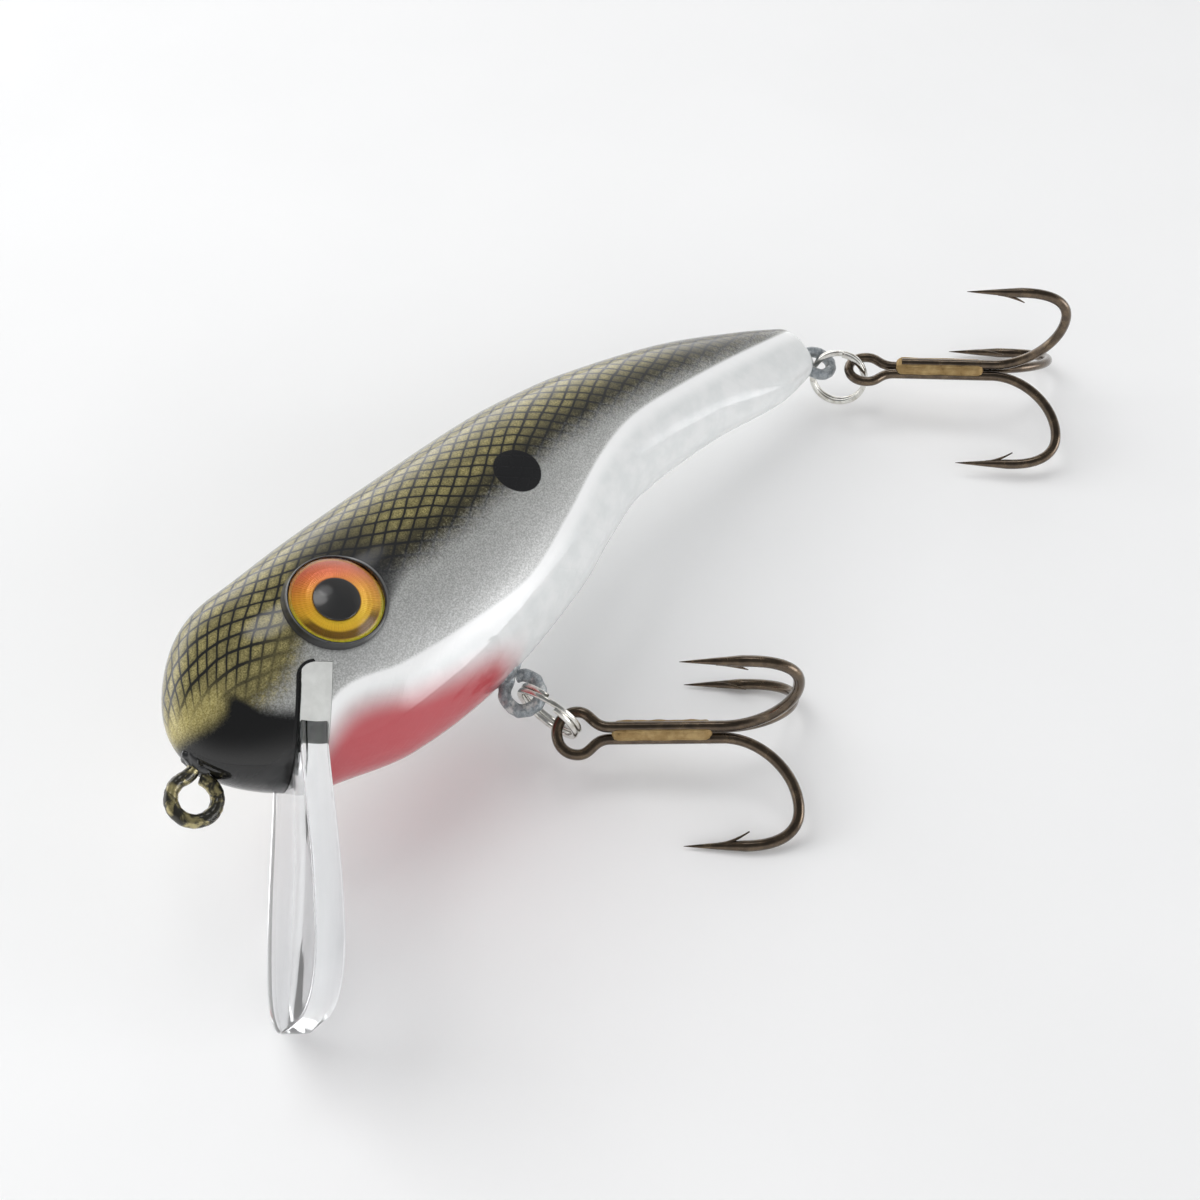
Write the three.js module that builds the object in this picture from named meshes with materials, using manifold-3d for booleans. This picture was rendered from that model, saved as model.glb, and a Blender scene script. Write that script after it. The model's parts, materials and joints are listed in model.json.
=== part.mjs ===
// A diving crankbait: a painted, banana-shaped hard body with a clear diving lip, domed eyes,
// three screw eyes, and a treble hook hanging from a split ring at the belly and at the tail.
// Millimetres, +Z up. The lure lies on its right side as if put down on a table.
// Lure axes, inside the tilted group: X from nose to tail, Y towards the back, Z towards its left.
import * as THREE from 'three';
import * as BufferGeometryUtils from 'three/addons/utils/BufferGeometryUtils.js';
import Module from 'manifold-3d';

const wasm = await Module();
wasm.setup();

// How the lure lies: nose height, roll on to its right side, and nose-up pitch.
const NOSE_HEIGHT = 33.7;
const ROLL_DEG = 25;
const PITCH_DEG = 8.6;

// Body outline: station along X, y of the back, y of the belly, half thickness.
const BODY_LENGTH = 160;
const BODY_STATIONS = [
  [0, 11.0, -19.2, 9.9],
  [10, 14.2, -20.9, 10.6],
  [21, 15.5, -23.0, 12.0],
  [35, 17.7, -25.2, 14.2],
  [56, 20.2, -23.2, 15.1],
  [80, 22.6, -16.2, 13.8],
  [92, 22.8, -10.8, 12.5],
  [104, 22.2, -6.3, 11.1],
  [128, 18.8, -3.8, 8.1],
  [148, 13.5, -4.0, 4.9],
  [160, 9.2, -1.6, 3.3],
];
const NOSE_ROUNDING = 20;
const TAIL_ROUNDING = 2.6;
const BODY_SQUARENESS = 2.2;
const BODY_RINGS = 52;
const BODY_SIDES = 40;
const NOSE_TIP = 0.05;

// Diving lip: a flat plate that leaves the head down and forward.
const LIP_ROOT = new THREE.Vector2(15.3, -18.1);
const LIP_RAKE_DEG = 33.5;
const LIP_THICKNESS = 4.76;
const LIP_LENGTH = 41.6;
const LIP_TANG = 15;
const LIP_ROOT_HALF_WIDTH = 11;
const LIP_TIP_HALF_WIDTH = 17;
const LIP_CORNER = 10.5;
const SLOT_PLAY = 0.35;
const JOINT_GAP = 0.06;

// Eyes: a foil disc, a pupil and a clear dome in a flat-bottomed socket on each side.
const EYE_CENTRE = new THREE.Vector3(32.2, 1.4, 14.1);
const EYE_DORSAL_TILT_DEG = 7;
const EYE_RADIUS = 8;
const EYE_SOCKET_DEPTH = 1.6;
const SOCKET_PLAY = 0.25;
const FOIL_THICKNESS = 0.5;
const PUPIL_RADIUS = 3.7;
const PUPIL_THICKNESS = 0.2;
const DOME_HEIGHT = 2.7;

// Screw eyes: ring centre line radius, wire radius, shank length and drill clearance.
const LINE_TIE = { x: -2.1, y: -12.8, ring: 3.75, wire: 1.2, shank: 24, headingDeg: 55, turnDeg: 0 };
const BELLY_EYE = { x: 58.0, y: -26.6, ring: 3.2, wire: 1.2, shank: 22, headingDeg: 90, turnDeg: -22 };
const TAIL_EYE = { x: 161.6, y: -0.4, ring: 3.2, wire: 1.15, shank: 24, headingDeg: 168, turnDeg: 11 };
const DRILL_CLEARANCE = 0.15;

// Belly ballast: a lead slug in a drilled pocket under a painted plug.
const BALLAST = { x: 44, radius: 4.8, length: 16, cover: 4, play: 0.25, outside: -60 };

// Split rings: two turns of flattened wire.
const SPLIT_RING = { radial: 1.1, turn: 0.95, gap: 0.08, turns: 1.94, startDeg: 107.2, stepTurns: 0.16 };

// Treble hooks: a double hook bent from one wire with its eye, and a third hook brazed on.
const HOOK_WIRE = 1.0;
const TREBLE_LENGTH = 44.6;
const TREBLE_EYE_OUT = 3.9;
const TREBLE_EYE_HALF_WIDTH = 3.8;
const BUNDLE_RADIUS = 1.35;
const BRAZE_START = 10.6;
const BRAZE_END = 28.6;
const BRAZE_RADIUS = 1.75;
const THIRD_HOOK_SETBACK = 1.2;
const BEND_START = 30.5;
const POINT_RADIUS = 20.3;
const POINT_BACK = 21.3;
const POINT_TAPER = 10.5;
const BARB_BACK = 11.6;
const BARB_RISE = 2.7;
const BARB_THICKNESS = 0.7;
const TIP_RADIUS = 0.08;

// How each hook lies, in the frame of the table.
const BELLY_HOOK = {
  radius: 6.1,
  reach: new THREE.Vector3(2.5, -10.3, -4.45),
  facing: new THREE.Vector3(-0.94, -0.2, -0.26),
  side: 1,
  shank: new THREE.Vector3(0.706, -0.708, 0.042),
  third: new THREE.Vector3(0.614, 0.614, -0.5),
  eyeTwistDeg: -22,
};
const TAIL_HOOK = {
  radius: 5.55,
  reach: new THREE.Vector3(5.1, -8.4, 0.5),
  facing: new THREE.Vector3(-0.82, -0.5, 0.27),
  side: -1,
  shank: new THREE.Vector3(0.661, -0.749, 0.034),
  third: new THREE.Vector3(0.03, 0.03, 1),
  eyeTwistDeg: 0,
};

// ---------- small tools ----------

const deg = THREE.MathUtils.degToRad;
const V2 = (x, y) => new THREE.Vector2(x, y);
const V3 = (x, y, z) => new THREE.Vector3(x, y, z);

function finish(color, roughness, metalness, opacity = 1) {
  return new THREE.MeshStandardMaterial({ color, roughness, metalness, opacity, transparent: opacity < 1 });
}

function solid(geometry) {
  const bare = geometry.index ? geometry.toNonIndexed() : geometry.clone();
  for (const attribute of Object.keys(bare.attributes)) {
    if (attribute !== 'position') bare.deleteAttribute(attribute);
  }
  const merged = BufferGeometryUtils.mergeVertices(bare, 1e-4);
  return new wasm.Manifold(new wasm.Mesh({
    numProp: 3,
    vertProperties: new Float32Array(merged.attributes.position.array),
    triVerts: new Uint32Array(merged.index.array),
  }));
}

function geometryOf(manifold) {
  const { vertProperties, triVerts } = manifold.getMesh();
  const geometry = new THREE.BufferGeometry();
  geometry.setAttribute('position', new THREE.BufferAttribute(new Float32Array(vertProperties), 3));
  geometry.setIndex(new THREE.BufferAttribute(new Uint32Array(triVerts), 1));
  const flat = geometry.toNonIndexed();
  flat.computeVertexNormals();
  return flat;
}

function piece(name, manifold, material, parent) {
  const mesh = new THREE.Mesh(geometryOf(manifold), material);
  mesh.name = name;
  parent.add(mesh);
  return mesh;
}

function circle(radius, sides) {
  const points = [];
  for (let i = 0; i < sides; i += 1) {
    const angle = (i / sides) * 2 * Math.PI;
    points.push(V2(radius * Math.cos(angle), radius * Math.sin(angle)));
  }
  return new THREE.Shape(points);
}

function wire(path, radius, steps, sides = 8) {
  return solid(new THREE.ExtrudeGeometry(circle(radius, sides), { extrudePath: path, steps, bevelEnabled: false }));
}

// A cylinder or cone from one point to another.
function rod(from, to, radiusFrom, radiusTo, sides = 20) {
  const along = to.clone().sub(from);
  const geometry = new THREE.CylinderGeometry(radiusTo, radiusFrom, along.length(), sides);
  geometry.applyQuaternion(new THREE.Quaternion().setFromUnitVectors(V3(0, 1, 0), along.clone().normalize()));
  geometry.translate(...from.clone().add(to).multiplyScalar(0.5).toArray());
  return solid(geometry);
}

// A group whose X axis points along `x` and whose Z axis leans to `z`.
function aimedGroup(origin, x, z) {
  const group = new THREE.Group();
  const ex = x.clone().normalize();
  const ey = z.clone().cross(ex).normalize();
  const ez = ex.clone().cross(ey);
  group.position.copy(origin);
  group.quaternion.setFromRotationMatrix(new THREE.Matrix4().makeBasis(ex, ey, ez));
  return group;
}

// ---------- body ----------

// Cubic through the stations, with each slope taken from the two neighbours.
function station(x, column) {
  const rows = BODY_STATIONS;
  const slope = (i) => {
    const before = rows[Math.max(i - 1, 0)];
    const after = rows[Math.min(i + 1, rows.length - 1)];
    return (after[column] - before[column]) / (after[0] - before[0]);
  };
  let i = rows.findIndex((row, k) => k < rows.length - 1 && x <= rows[k + 1][0]);
  if (i < 0) i = rows.length - 2;
  const span = rows[i + 1][0] - rows[i][0];
  const t = (x - rows[i][0]) / span;
  const [a, b] = [rows[i][column], rows[i + 1][column]];
  return (2 * t ** 3 - 3 * t ** 2 + 1) * a + (t ** 3 - 2 * t ** 2 + t) * span * slope(i)
    + (3 * t ** 2 - 2 * t ** 3) * b + (t ** 3 - t ** 2) * span * slope(i + 1);
}

// Elliptical rounding that closes the section at the nose and at the tail.
function endRounding(x) {
  const nose = 1 - Math.min(1, x / NOSE_ROUNDING);
  const tail = 1 - Math.min(1, (BODY_LENGTH - x) / TAIL_ROUNDING);
  return Math.sqrt(1 - nose ** 2) * (0.55 + 0.45 * Math.sqrt(1 - tail ** 2));
}

function section(x) {
  const back = station(x, 1);
  const belly = station(x, 2);
  const rounding = endRounding(x);
  return {
    middle: (back + belly) / 2,
    halfHeight: ((back - belly) / 2) * rounding,
    halfWidth: station(x, 3) * rounding,
  };
}

// A cylinder reshaped ring by ring; the rings crowd towards the nose and the tail.
function bodyBlank() {
  const geometry = new THREE.CylinderGeometry(1, 1, 1, BODY_SIDES, BODY_RINGS);
  const position = geometry.attributes.position;
  const power = 2 / BODY_SQUARENESS;
  const shaped = (value) => Math.sign(value) * Math.abs(value) ** power;
  for (let i = 0; i < position.count; i += 1) {
    const [px, py, pz] = [position.getX(i), position.getY(i), position.getZ(i)];
    const along = 0.5 - py;
    const crowded = 0.5 - 0.5 * Math.cos(Math.PI * along ** 0.9);
    const x = NOSE_TIP + (BODY_LENGTH - NOSE_TIP) * crowded;
    const { middle, halfHeight, halfWidth } = section(x);
    position.setXYZ(i, x, middle + halfHeight * shaped(px), halfWidth * shaped(pz));
  }
  return solid(geometry);
}

// ---------- diving lip ----------

// Plate axes: X down the lip, Y across it, Z through its thickness.
function lipGroup(parent) {
  const down = V3(-Math.sin(deg(LIP_RAKE_DEG)), -Math.cos(deg(LIP_RAKE_DEG)), 0);
  const forward = V3(-Math.cos(deg(LIP_RAKE_DEG)), Math.sin(deg(LIP_RAKE_DEG)), 0);
  const group = aimedGroup(V3(LIP_ROOT.x, LIP_ROOT.y, 0), down, forward);
  parent.add(group);
  group.updateMatrix();
  return group;
}

// The tang is straight, the blade widens to its corners, and the corners are rounded off.
function lipPlate(extra) {
  const outline = new THREE.Shape();
  const root = LIP_ROOT_HALF_WIDTH + extra;
  const tip = LIP_TIP_HALF_WIDTH + extra;
  const end = LIP_LENGTH + extra;
  outline.moveTo(-LIP_TANG - extra, -root);
  outline.lineTo(-2, -root);
  outline.bezierCurveTo(10, -root - 2.6, 18, -tip, end - LIP_CORNER, -tip);
  outline.bezierCurveTo(end - LIP_CORNER * 0.35, -tip, end, -tip + LIP_CORNER * 0.5, end, -tip + LIP_CORNER * 1.15);
  outline.lineTo(end, tip - LIP_CORNER * 1.15);
  outline.bezierCurveTo(end, tip - LIP_CORNER * 0.5, end - LIP_CORNER * 0.35, tip, end - LIP_CORNER, tip);
  outline.bezierCurveTo(18, tip, 10, root + 2.6, -2, root);
  outline.lineTo(-LIP_TANG - extra, root);
  outline.closePath();
  const depth = LIP_THICKNESS + 2 * extra;
  const geometry = new THREE.ExtrudeGeometry(outline, { depth, bevelEnabled: false, curveSegments: 8 });
  geometry.translate(0, 0, -depth / 2);
  return solid(geometry);
}

function slotBlock(extra) {
  const length = LIP_TANG + 20 + extra;
  const geometry = new THREE.BoxGeometry(length, 60, LIP_THICKNESS + 2 * (SLOT_PLAY + extra));
  geometry.translate(-LIP_TANG - SLOT_PLAY - 0.6 - extra + length / 2, 0, 0);
  return solid(geometry);
}

// ---------- screw eyes ----------

// A ring about the group's Z axis, with its shank leaving along +X.
function screwEye({ ring, wire: thick, shank }, extra = 0) {
  const loop = new THREE.TorusGeometry(ring, thick + extra, 10, 28);
  const stem = new THREE.CylinderGeometry(thick + extra, thick + extra, shank + extra, 12);
  stem.rotateZ(Math.PI / 2);
  stem.translate(ring + (shank + extra) / 2, 0, 0);
  return solid(loop).add(solid(stem));
}

function screwEyeGroup(eye, parent) {
  const group = new THREE.Group();
  group.position.set(eye.x, eye.y, 0);
  group.rotation.set(deg(eye.turnDeg), 0, deg(eye.headingDeg), 'ZYX');
  parent.add(group);
  group.updateMatrix();
  return group;
}

// The drilled hole and the shallow seat that the ring is screwed down into.
function drillFor(eye, group) {
  return screwEye(eye, DRILL_CLEARANCE).transform(group.matrix.elements);
}

// ---------- eyes ----------

// Eye axes: Z out of the head, origin on the bottom of the socket.
function eyeGroup(side, parent) {
  const group = new THREE.Group();
  const out = V3(0, Math.sin(deg(EYE_DORSAL_TILT_DEG)), side * Math.cos(deg(EYE_DORSAL_TILT_DEG)));
  const centre = V3(EYE_CENTRE.x, EYE_CENTRE.y, side * EYE_CENTRE.z);
  group.position.copy(centre).addScaledVector(out, -EYE_SOCKET_DEPTH);
  group.quaternion.setFromUnitVectors(V3(0, 0, 1), out);
  parent.add(group);
  group.updateMatrix();
  return group;
}

function disc(radius, bottom, top, sides = 32) {
  return rod(V3(0, 0, bottom), V3(0, 0, top), radius, radius, sides);
}

function domeLens(radius, bottom, rim, crown) {
  const profile = [V2(0, bottom), V2(radius, bottom)];
  const steps = 6;
  for (let i = 0; i <= steps; i += 1) {
    const angle = (i / steps) * Math.PI / 2;
    profile.push(V2(radius * Math.cos(angle), rim + (crown - rim) * Math.sin(angle)));
  }
  profile[profile.length - 1].x = 0;
  const geometry = new THREE.LatheGeometry(profile, 32);
  geometry.rotateX(Math.PI / 2);
  return solid(geometry);
}

// ---------- split rings ----------

// Two turns of flat wire about the Z axis; the wire steps from one turn to the next halfway.
class Coil extends THREE.Curve {
  constructor(radius) {
    super();
    this.radius = radius;
  }

  getPoint(t, target = new THREE.Vector3()) {
    const { turn, gap, turns, startDeg, stepTurns } = SPLIT_RING;
    const angle = t * turns * 2 * Math.PI + deg(startDeg);
    const blend = THREE.MathUtils.smoothstep(t * turns, turns / 2 - stepTurns, turns / 2 + stepTurns);
    const height = (blend - 0.5) * (turn + gap);
    return target.set(this.radius * Math.cos(angle), this.radius * Math.sin(angle), height);
  }
}

function splitRing(radius) {
  const { radial, turn } = SPLIT_RING;
  const strip = new THREE.Shape([
    V2(-turn / 2, -radial / 2), V2(turn / 2, -radial / 2), V2(turn / 2, radial / 2), V2(-turn / 2, radial / 2),
  ]);
  const path = new Coil(radius);
  return solid(new THREE.ExtrudeGeometry(strip, { extrudePath: path, steps: 72, bevelEnabled: false }));
}

// ---------- treble hooks ----------

// Treble axes: X down the shank from the centre of the eye, Z square to the eye's loop.
// The third hook points to +Z and the double hook's two points lie 120 degrees either side.
const BUNDLE_RISE = BUNDLE_RADIUS / 2;
const [THIRD, LEFT, RIGHT] = [90, 210, 330];

function spoke(angleDeg, x, radius) {
  const angle = deg(angleDeg);
  return V3(x - TREBLE_EYE_OUT, radius * Math.cos(angle), BUNDLE_RISE + radius * Math.sin(angle));
}

// Shank, swept bend and point leg in the plane through the shank at `angleDeg`.
function hookCurves(angleDeg, start) {
  const bendX = TREBLE_LENGTH - HOOK_WIRE;
  const widest = 0.69 * POINT_RADIUS;
  const at = (x, radius) => spoke(angleDeg, x, radius);
  const legX = TREBLE_LENGTH - POINT_BACK + POINT_TAPER;
  return [
    new THREE.LineCurve3(at(start, BUNDLE_RADIUS), at(BEND_START, BUNDLE_RADIUS)),
    new THREE.CubicBezierCurve3(at(BEND_START, BUNDLE_RADIUS), at(BEND_START + 6.5, BUNDLE_RADIUS),
      at(bendX, widest - 6.5), at(bendX, widest)),
    new THREE.CubicBezierCurve3(at(bendX, widest), at(bendX, widest + 3.9), at(bendX - 3.2, POINT_RADIUS),
      at(legX + 0.2, POINT_RADIUS)),
  ];
}

// Conical point with a barb raised on its inner side.
function pointAndBarb(angleDeg) {
  const tipX = TREBLE_LENGTH - POINT_BACK;
  const at = (x, radius) => spoke(angleDeg, x, radius);
  const cone = rod(at(tipX + POINT_TAPER + 0.6, POINT_RADIUS), at(tipX, POINT_RADIUS), HOOK_WIRE, TIP_RADIUS, 8);
  const barb = new THREE.Shape([
    V2(tipX + 5, POINT_RADIUS - 0.2), V2(tipX + 9.6, POINT_RADIUS - 0.2), V2(tipX + BARB_BACK, POINT_RADIUS - BARB_RISE),
  ]);
  const blade = new THREE.ExtrudeGeometry(barb, { depth: BARB_THICKNESS, bevelEnabled: false });
  blade.translate(0, 0, -BARB_THICKNESS / 2);
  const angle = deg(angleDeg);
  const radial = V3(0, Math.cos(angle), Math.sin(angle));
  const across = V3(1, 0, 0).cross(radial);
  blade.applyMatrix4(new THREE.Matrix4().makeBasis(V3(1, 0, 0), radial, across));
  blade.translate(-TREBLE_EYE_OUT, 0, BUNDLE_RISE);
  return cone.add(solid(blade));
}

function joined(curves) {
  const path = new THREE.CurvePath();
  for (const curve of curves) path.add(curve);
  return path;
}

function reversed(curves) {
  return curves.slice().reverse().map((curve) => {
    if (curve.isLineCurve3) return new THREE.LineCurve3(curve.v2, curve.v1);
    return new THREE.CubicBezierCurve3(curve.v3, curve.v2, curve.v1, curve.v0);
  });
}

// The wire leaves the shank, runs round the eye, which may be twisted a little, and comes back.
function doubleHook(eyeTwistDeg) {
  const twist = deg(eyeTwistDeg);
  const E3 = (x, y) => V3(x, y * Math.cos(twist), y * Math.sin(twist));
  const leftSide = hookCurves(LEFT, BRAZE_START);
  const rightSide = hookCurves(RIGHT, BRAZE_START);
  const neckLeft = spoke(LEFT, BRAZE_START, BUNDLE_RADIUS);
  const neckRight = spoke(RIGHT, BRAZE_START, BUNDLE_RADIUS);
  const wide = TREBLE_EYE_HALF_WIDTH;
  const end = HOOK_WIRE - TREBLE_EYE_OUT;
  const round = 0.5523 * wide;
  const eye = [
    new THREE.CubicBezierCurve3(neckLeft, V3(neckLeft.x - 3.4, neckLeft.y, 0), E3(3.4, -wide), E3(0.8, -wide)),
    new THREE.CubicBezierCurve3(E3(0.8, -wide), E3(-1.4, -wide), E3(end, -round), E3(end, 0)),
    new THREE.CubicBezierCurve3(E3(end, 0), E3(end, round), E3(-1.4, wide), E3(0.8, wide)),
    new THREE.CubicBezierCurve3(E3(0.8, wide), E3(3.4, wide), V3(neckRight.x - 3.4, neckRight.y, 0), neckRight),
  ];
  const path = joined([...reversed(leftSide), ...eye, ...rightSide]);
  return wire(path, HOOK_WIRE, 112).add(pointAndBarb(LEFT)).add(pointAndBarb(RIGHT));
}

function thirdHook() {
  return wire(joined(hookCurves(THIRD, BRAZE_START + THIRD_HOOK_SETBACK)), HOOK_WIRE, 40).add(pointAndBarb(THIRD));
}

// Brass fills the grooves between the three shanks.
function brazing() {
  const from = spoke(0, BRAZE_START + 0.8, 0);
  const to = spoke(0, BRAZE_END, 0);
  let fill = rod(from, to, BRAZE_RADIUS, BRAZE_RADIUS, 12);
  for (const angle of [THIRD, LEFT, RIGHT]) {
    const start = spoke(angle, BRAZE_START - 2, BUNDLE_RADIUS);
    const stop = spoke(angle, BRAZE_END + 2, BUNDLE_RADIUS);
    fill = fill.subtract(rod(start, stop, HOOK_WIRE + 0.08, HOOK_WIRE + 0.08, 16));
  }
  return fill;
}

// ---------- assembly ----------

const paint = finish(0xb9bdbf, 0.25, 0.1);
const polycarbonate = finish(0xdfe6ea, 0.08, 0, 0.35);
const epoxy = finish(0xe8ebe6, 0.15, 0, 0.5);
const screwSteel = finish(0x8f9496, 0.35, 0.8);
const nickel = finish(0xd6d2c8, 0.15, 1);
const bronze = finish(0x5a4630, 0.28, 1);
const brass = finish(0xa98f5e, 0.5, 0.8);
const lead = finish(0x6b6d70, 0.6, 0.6);
const foil = finish(0xe08a2c, 0.3, 0.6);
const black = finish(0x0a0a0a, 0.2, 0);
const lensResin = finish(0xffffff, 0.05, 0, 0.25);

const part = new THREE.Group();
const lure = new THREE.Group();
lure.position.set(0, 0, NOSE_HEIGHT);
lure.rotation.set(deg(ROLL_DEG), deg(PITCH_DEG), 0, 'YXZ');
part.add(lure);

const lip = lipGroup(lure);
const lineTie = screwEyeGroup(LINE_TIE, lure);
const bellyEye = screwEyeGroup(BELLY_EYE, lure);
const tailEye = screwEyeGroup(TAIL_EYE, lure);
const blank = bodyBlank();

function placed(manifold, group) {
  return manifold.transform(group.matrix.elements);
}

// An upright rod through the belly at the ballast, from one height to another.
const ballastFloor = section(BALLAST.x).middle - section(BALLAST.x).halfHeight + BALLAST.cover;
function ballastRod(bottom, top, extra = 0) {
  const radius = BALLAST.radius + extra;
  return rod(V3(BALLAST.x, bottom, 0), V3(BALLAST.x, top, 0), radius, radius);
}

function makeBody() {
  let body = blank.subtract(placed(slotBlock(0), lip));
  for (const [eye, group] of [[LINE_TIE, lineTie], [BELLY_EYE, bellyEye], [TAIL_EYE, tailEye]]) {
    body = body.subtract(drillFor(eye, group));
  }
  for (const side of [1, -1]) {
    const socket = disc(EYE_RADIUS + SOCKET_PLAY, 0, 12);
    body = body.subtract(placed(socket, eyeGroup(side, lure)));
  }
  return body.subtract(ballastRod(BALLAST.outside, ballastFloor + BALLAST.length + 0.6, BALLAST.play));
}

piece('body', makeBody(), paint, lure);
piece('diving_lip', lipPlate(0), polycarbonate, lip);

const lipClearance = placed(lipPlate(JOINT_GAP), lip);
const slotFill = placed(slotBlock(-JOINT_GAP), lip).intersect(blank).subtract(lipClearance);
const mainFill = slotFill.decompose().sort((a, b) => b.volume() - a.volume())[0];
piece('lip_slot_epoxy', mainFill, epoxy, lure);

piece('ballast_weight', ballastRod(ballastFloor + 0.3, ballastFloor + BALLAST.length), lead, lure);
piece('ballast_plug', blank.intersect(ballastRod(BALLAST.outside, ballastFloor)), paint, lure);

piece('line_tie', screwEye(LINE_TIE), screwSteel, lineTie);
piece('belly_screw_eye', screwEye(BELLY_EYE), screwSteel, bellyEye);
piece('tail_screw_eye', screwEye(TAIL_EYE), screwSteel, tailEye);

for (const [word, side] of [['left', 1], ['right', -1]]) {
  const group = eyeGroup(side, lure);
  const foilTop = JOINT_GAP + FOIL_THICKNESS;
  const pupilTop = foilTop + JOINT_GAP + PUPIL_THICKNESS;
  const lensBottom = pupilTop + JOINT_GAP;
  piece(`${word}_eye_foil`, disc(EYE_RADIUS, JOINT_GAP, foilTop), foil, group);
  piece(`${word}_eye_pupil`, disc(PUPIL_RADIUS, foilTop + JOINT_GAP, pupilTop, 24), black, group);
  piece(`${word}_eye_dome`, domeLens(EYE_RADIUS, lensBottom, EYE_SOCKET_DEPTH, EYE_SOCKET_DEPTH + DOME_HEIGHT),
    lensResin, group);
}

// Each hook hangs from a screw eye by a split ring. Directions are in the frame of the table:
// `reach` runs from the screw eye to the hook's eye, both on the ring's centre line, `facing` is
// the ring's axis, `side` says on which side of the reach its centre lies, `shank` runs down the
// hook and `third` is the way its third point faces.
part.updateMatrixWorld(true);

function hangHook(name, screwEyeNode, { radius, reach, facing, side, shank, third, eyeTwistDeg }) {
  const start = V3().setFromMatrixPosition(screwEyeNode.matrixWorld);
  const chord = aimedGroup(start, reach, facing);
  const half = reach.length() / 2;
  const ring = new THREE.Group();
  ring.position.set(half, side * Math.sqrt(radius ** 2 - half ** 2), 0);
  chord.add(ring);
  part.add(chord);
  piece(`${name}_split_ring`, splitRing(radius), nickel, ring);
  const treble = aimedGroup(start.clone().add(reach), shank, third);
  part.add(treble);
  piece(`${name}_treble_double_hook`, doubleHook(eyeTwistDeg), bronze, treble);
  piece(`${name}_treble_third_hook`, thirdHook(), bronze, treble);
  piece(`${name}_treble_brazing`, brazing(), brass, treble);
}

hangHook('belly', bellyEye, BELLY_HOOK);
hangHook('tail', tailEye, TAIL_HOOK);

// The origin is under the middle of the whole lure, on the table.
const box = new THREE.Box3().setFromObject(part, true);
part.position.set(-(box.min.x + box.max.x) / 2, -(box.min.y + box.max.y) / 2, -box.min.z);
part.updateMatrixWorld(true);

export default part;
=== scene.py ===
import json
import math

import bpy
import numpy as np
from mathutils import Matrix, Vector


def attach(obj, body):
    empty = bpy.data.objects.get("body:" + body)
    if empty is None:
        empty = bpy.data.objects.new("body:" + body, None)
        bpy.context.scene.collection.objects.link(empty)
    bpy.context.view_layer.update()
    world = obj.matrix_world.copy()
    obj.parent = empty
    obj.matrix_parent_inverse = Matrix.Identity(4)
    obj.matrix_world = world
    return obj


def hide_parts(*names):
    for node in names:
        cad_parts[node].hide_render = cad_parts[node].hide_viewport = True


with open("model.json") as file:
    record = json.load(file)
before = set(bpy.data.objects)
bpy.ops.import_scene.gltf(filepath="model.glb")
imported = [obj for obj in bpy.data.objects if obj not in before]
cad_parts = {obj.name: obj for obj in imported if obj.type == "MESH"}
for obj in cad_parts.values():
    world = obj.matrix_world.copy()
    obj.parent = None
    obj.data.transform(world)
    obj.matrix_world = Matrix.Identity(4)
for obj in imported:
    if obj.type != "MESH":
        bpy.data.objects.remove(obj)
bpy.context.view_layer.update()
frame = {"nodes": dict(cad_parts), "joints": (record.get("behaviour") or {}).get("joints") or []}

# ---- The table and the camera --------------------------------------------------------------
# The lure lies on a pale table, propped on its lip and its hooks, and is seen from above its nose,
# a little from its left, by the soft light of a window. Everything in this section is in metres.
MM = 0.001
VIEW_AZIMUTH = math.radians(-41.9)
VIEW_ELEVATION = math.radians(50.82)
VIEW_ROLL = math.radians(-1.82)
VIEW_DISTANCE = 330.6 * MM
VIEW_LENS = 52.65
FRAME_WIDTH = 36.0
BELLY_HANGER_TO_TARGET = np.array([26.65, 8.31, -3.91]) * MM

joints = {joint["name"]: joint for joint in frame["joints"]}


def joint_place(name):
    """The point of a joint in the row frame, as an array in metres."""
    return np.array(joints[name]["pos_m"], float)


def link(thing):
    bpy.context.scene.collection.objects.link(thing)
    return thing


view_back = np.array([math.sin(VIEW_AZIMUTH) * math.cos(VIEW_ELEVATION),
                      -math.cos(VIEW_AZIMUTH) * math.cos(VIEW_ELEVATION), math.sin(VIEW_ELEVATION)])
level_right = np.array([math.cos(VIEW_AZIMUTH), math.sin(VIEW_AZIMUTH), 0.0])
level_up = np.cross(view_back, level_right)
view_right = level_right * math.cos(VIEW_ROLL) + level_up * math.sin(VIEW_ROLL)
view_up = level_up * math.cos(VIEW_ROLL) - level_right * math.sin(VIEW_ROLL)
camera_target = joint_place("belly_ring_swing") + BELLY_HANGER_TO_TARGET
camera_place = camera_target + view_back * VIEW_DISTANCE

camera = link(bpy.data.objects.new("camera", bpy.data.cameras.new("camera")))
camera_pose = np.eye(4)
camera_pose[:3] = np.stack([view_right, view_up, view_back, camera_place], axis=1)
camera.matrix_world = Matrix(camera_pose.tolist())
camera.data.lens = VIEW_LENS
camera.data.sensor_width = FRAME_WIDTH
camera.data.clip_start = 0.01
camera.data.clip_end = 20
bpy.context.scene.camera = camera


def material(name, **sockets):
    """A Principled material and its shader, with the given sockets set on the shader itself."""
    made = bpy.data.materials.new(name)
    made.use_nodes = True
    shader = made.node_tree.nodes["Principled BSDF"]
    for socket, value in sockets.items():
        shader.inputs[socket.replace("_", " ")].default_value = value
    return made, shader


def is_socket(value):
    return isinstance(value, bpy.types.NodeSocket)


def node(near, kind, inputs=(), **settings):
    """A node in the same tree as `near`; an input is a value, or a socket to link from."""
    made = near.id_data.nodes.new(kind)
    for key, value in settings.items():
        setattr(made, key, value)
    for key, value in dict(inputs).items():
        if is_socket(value):
            near.id_data.links.new(value, made.inputs[key])
        else:
            made.inputs[key].default_value = value
    return made


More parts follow.
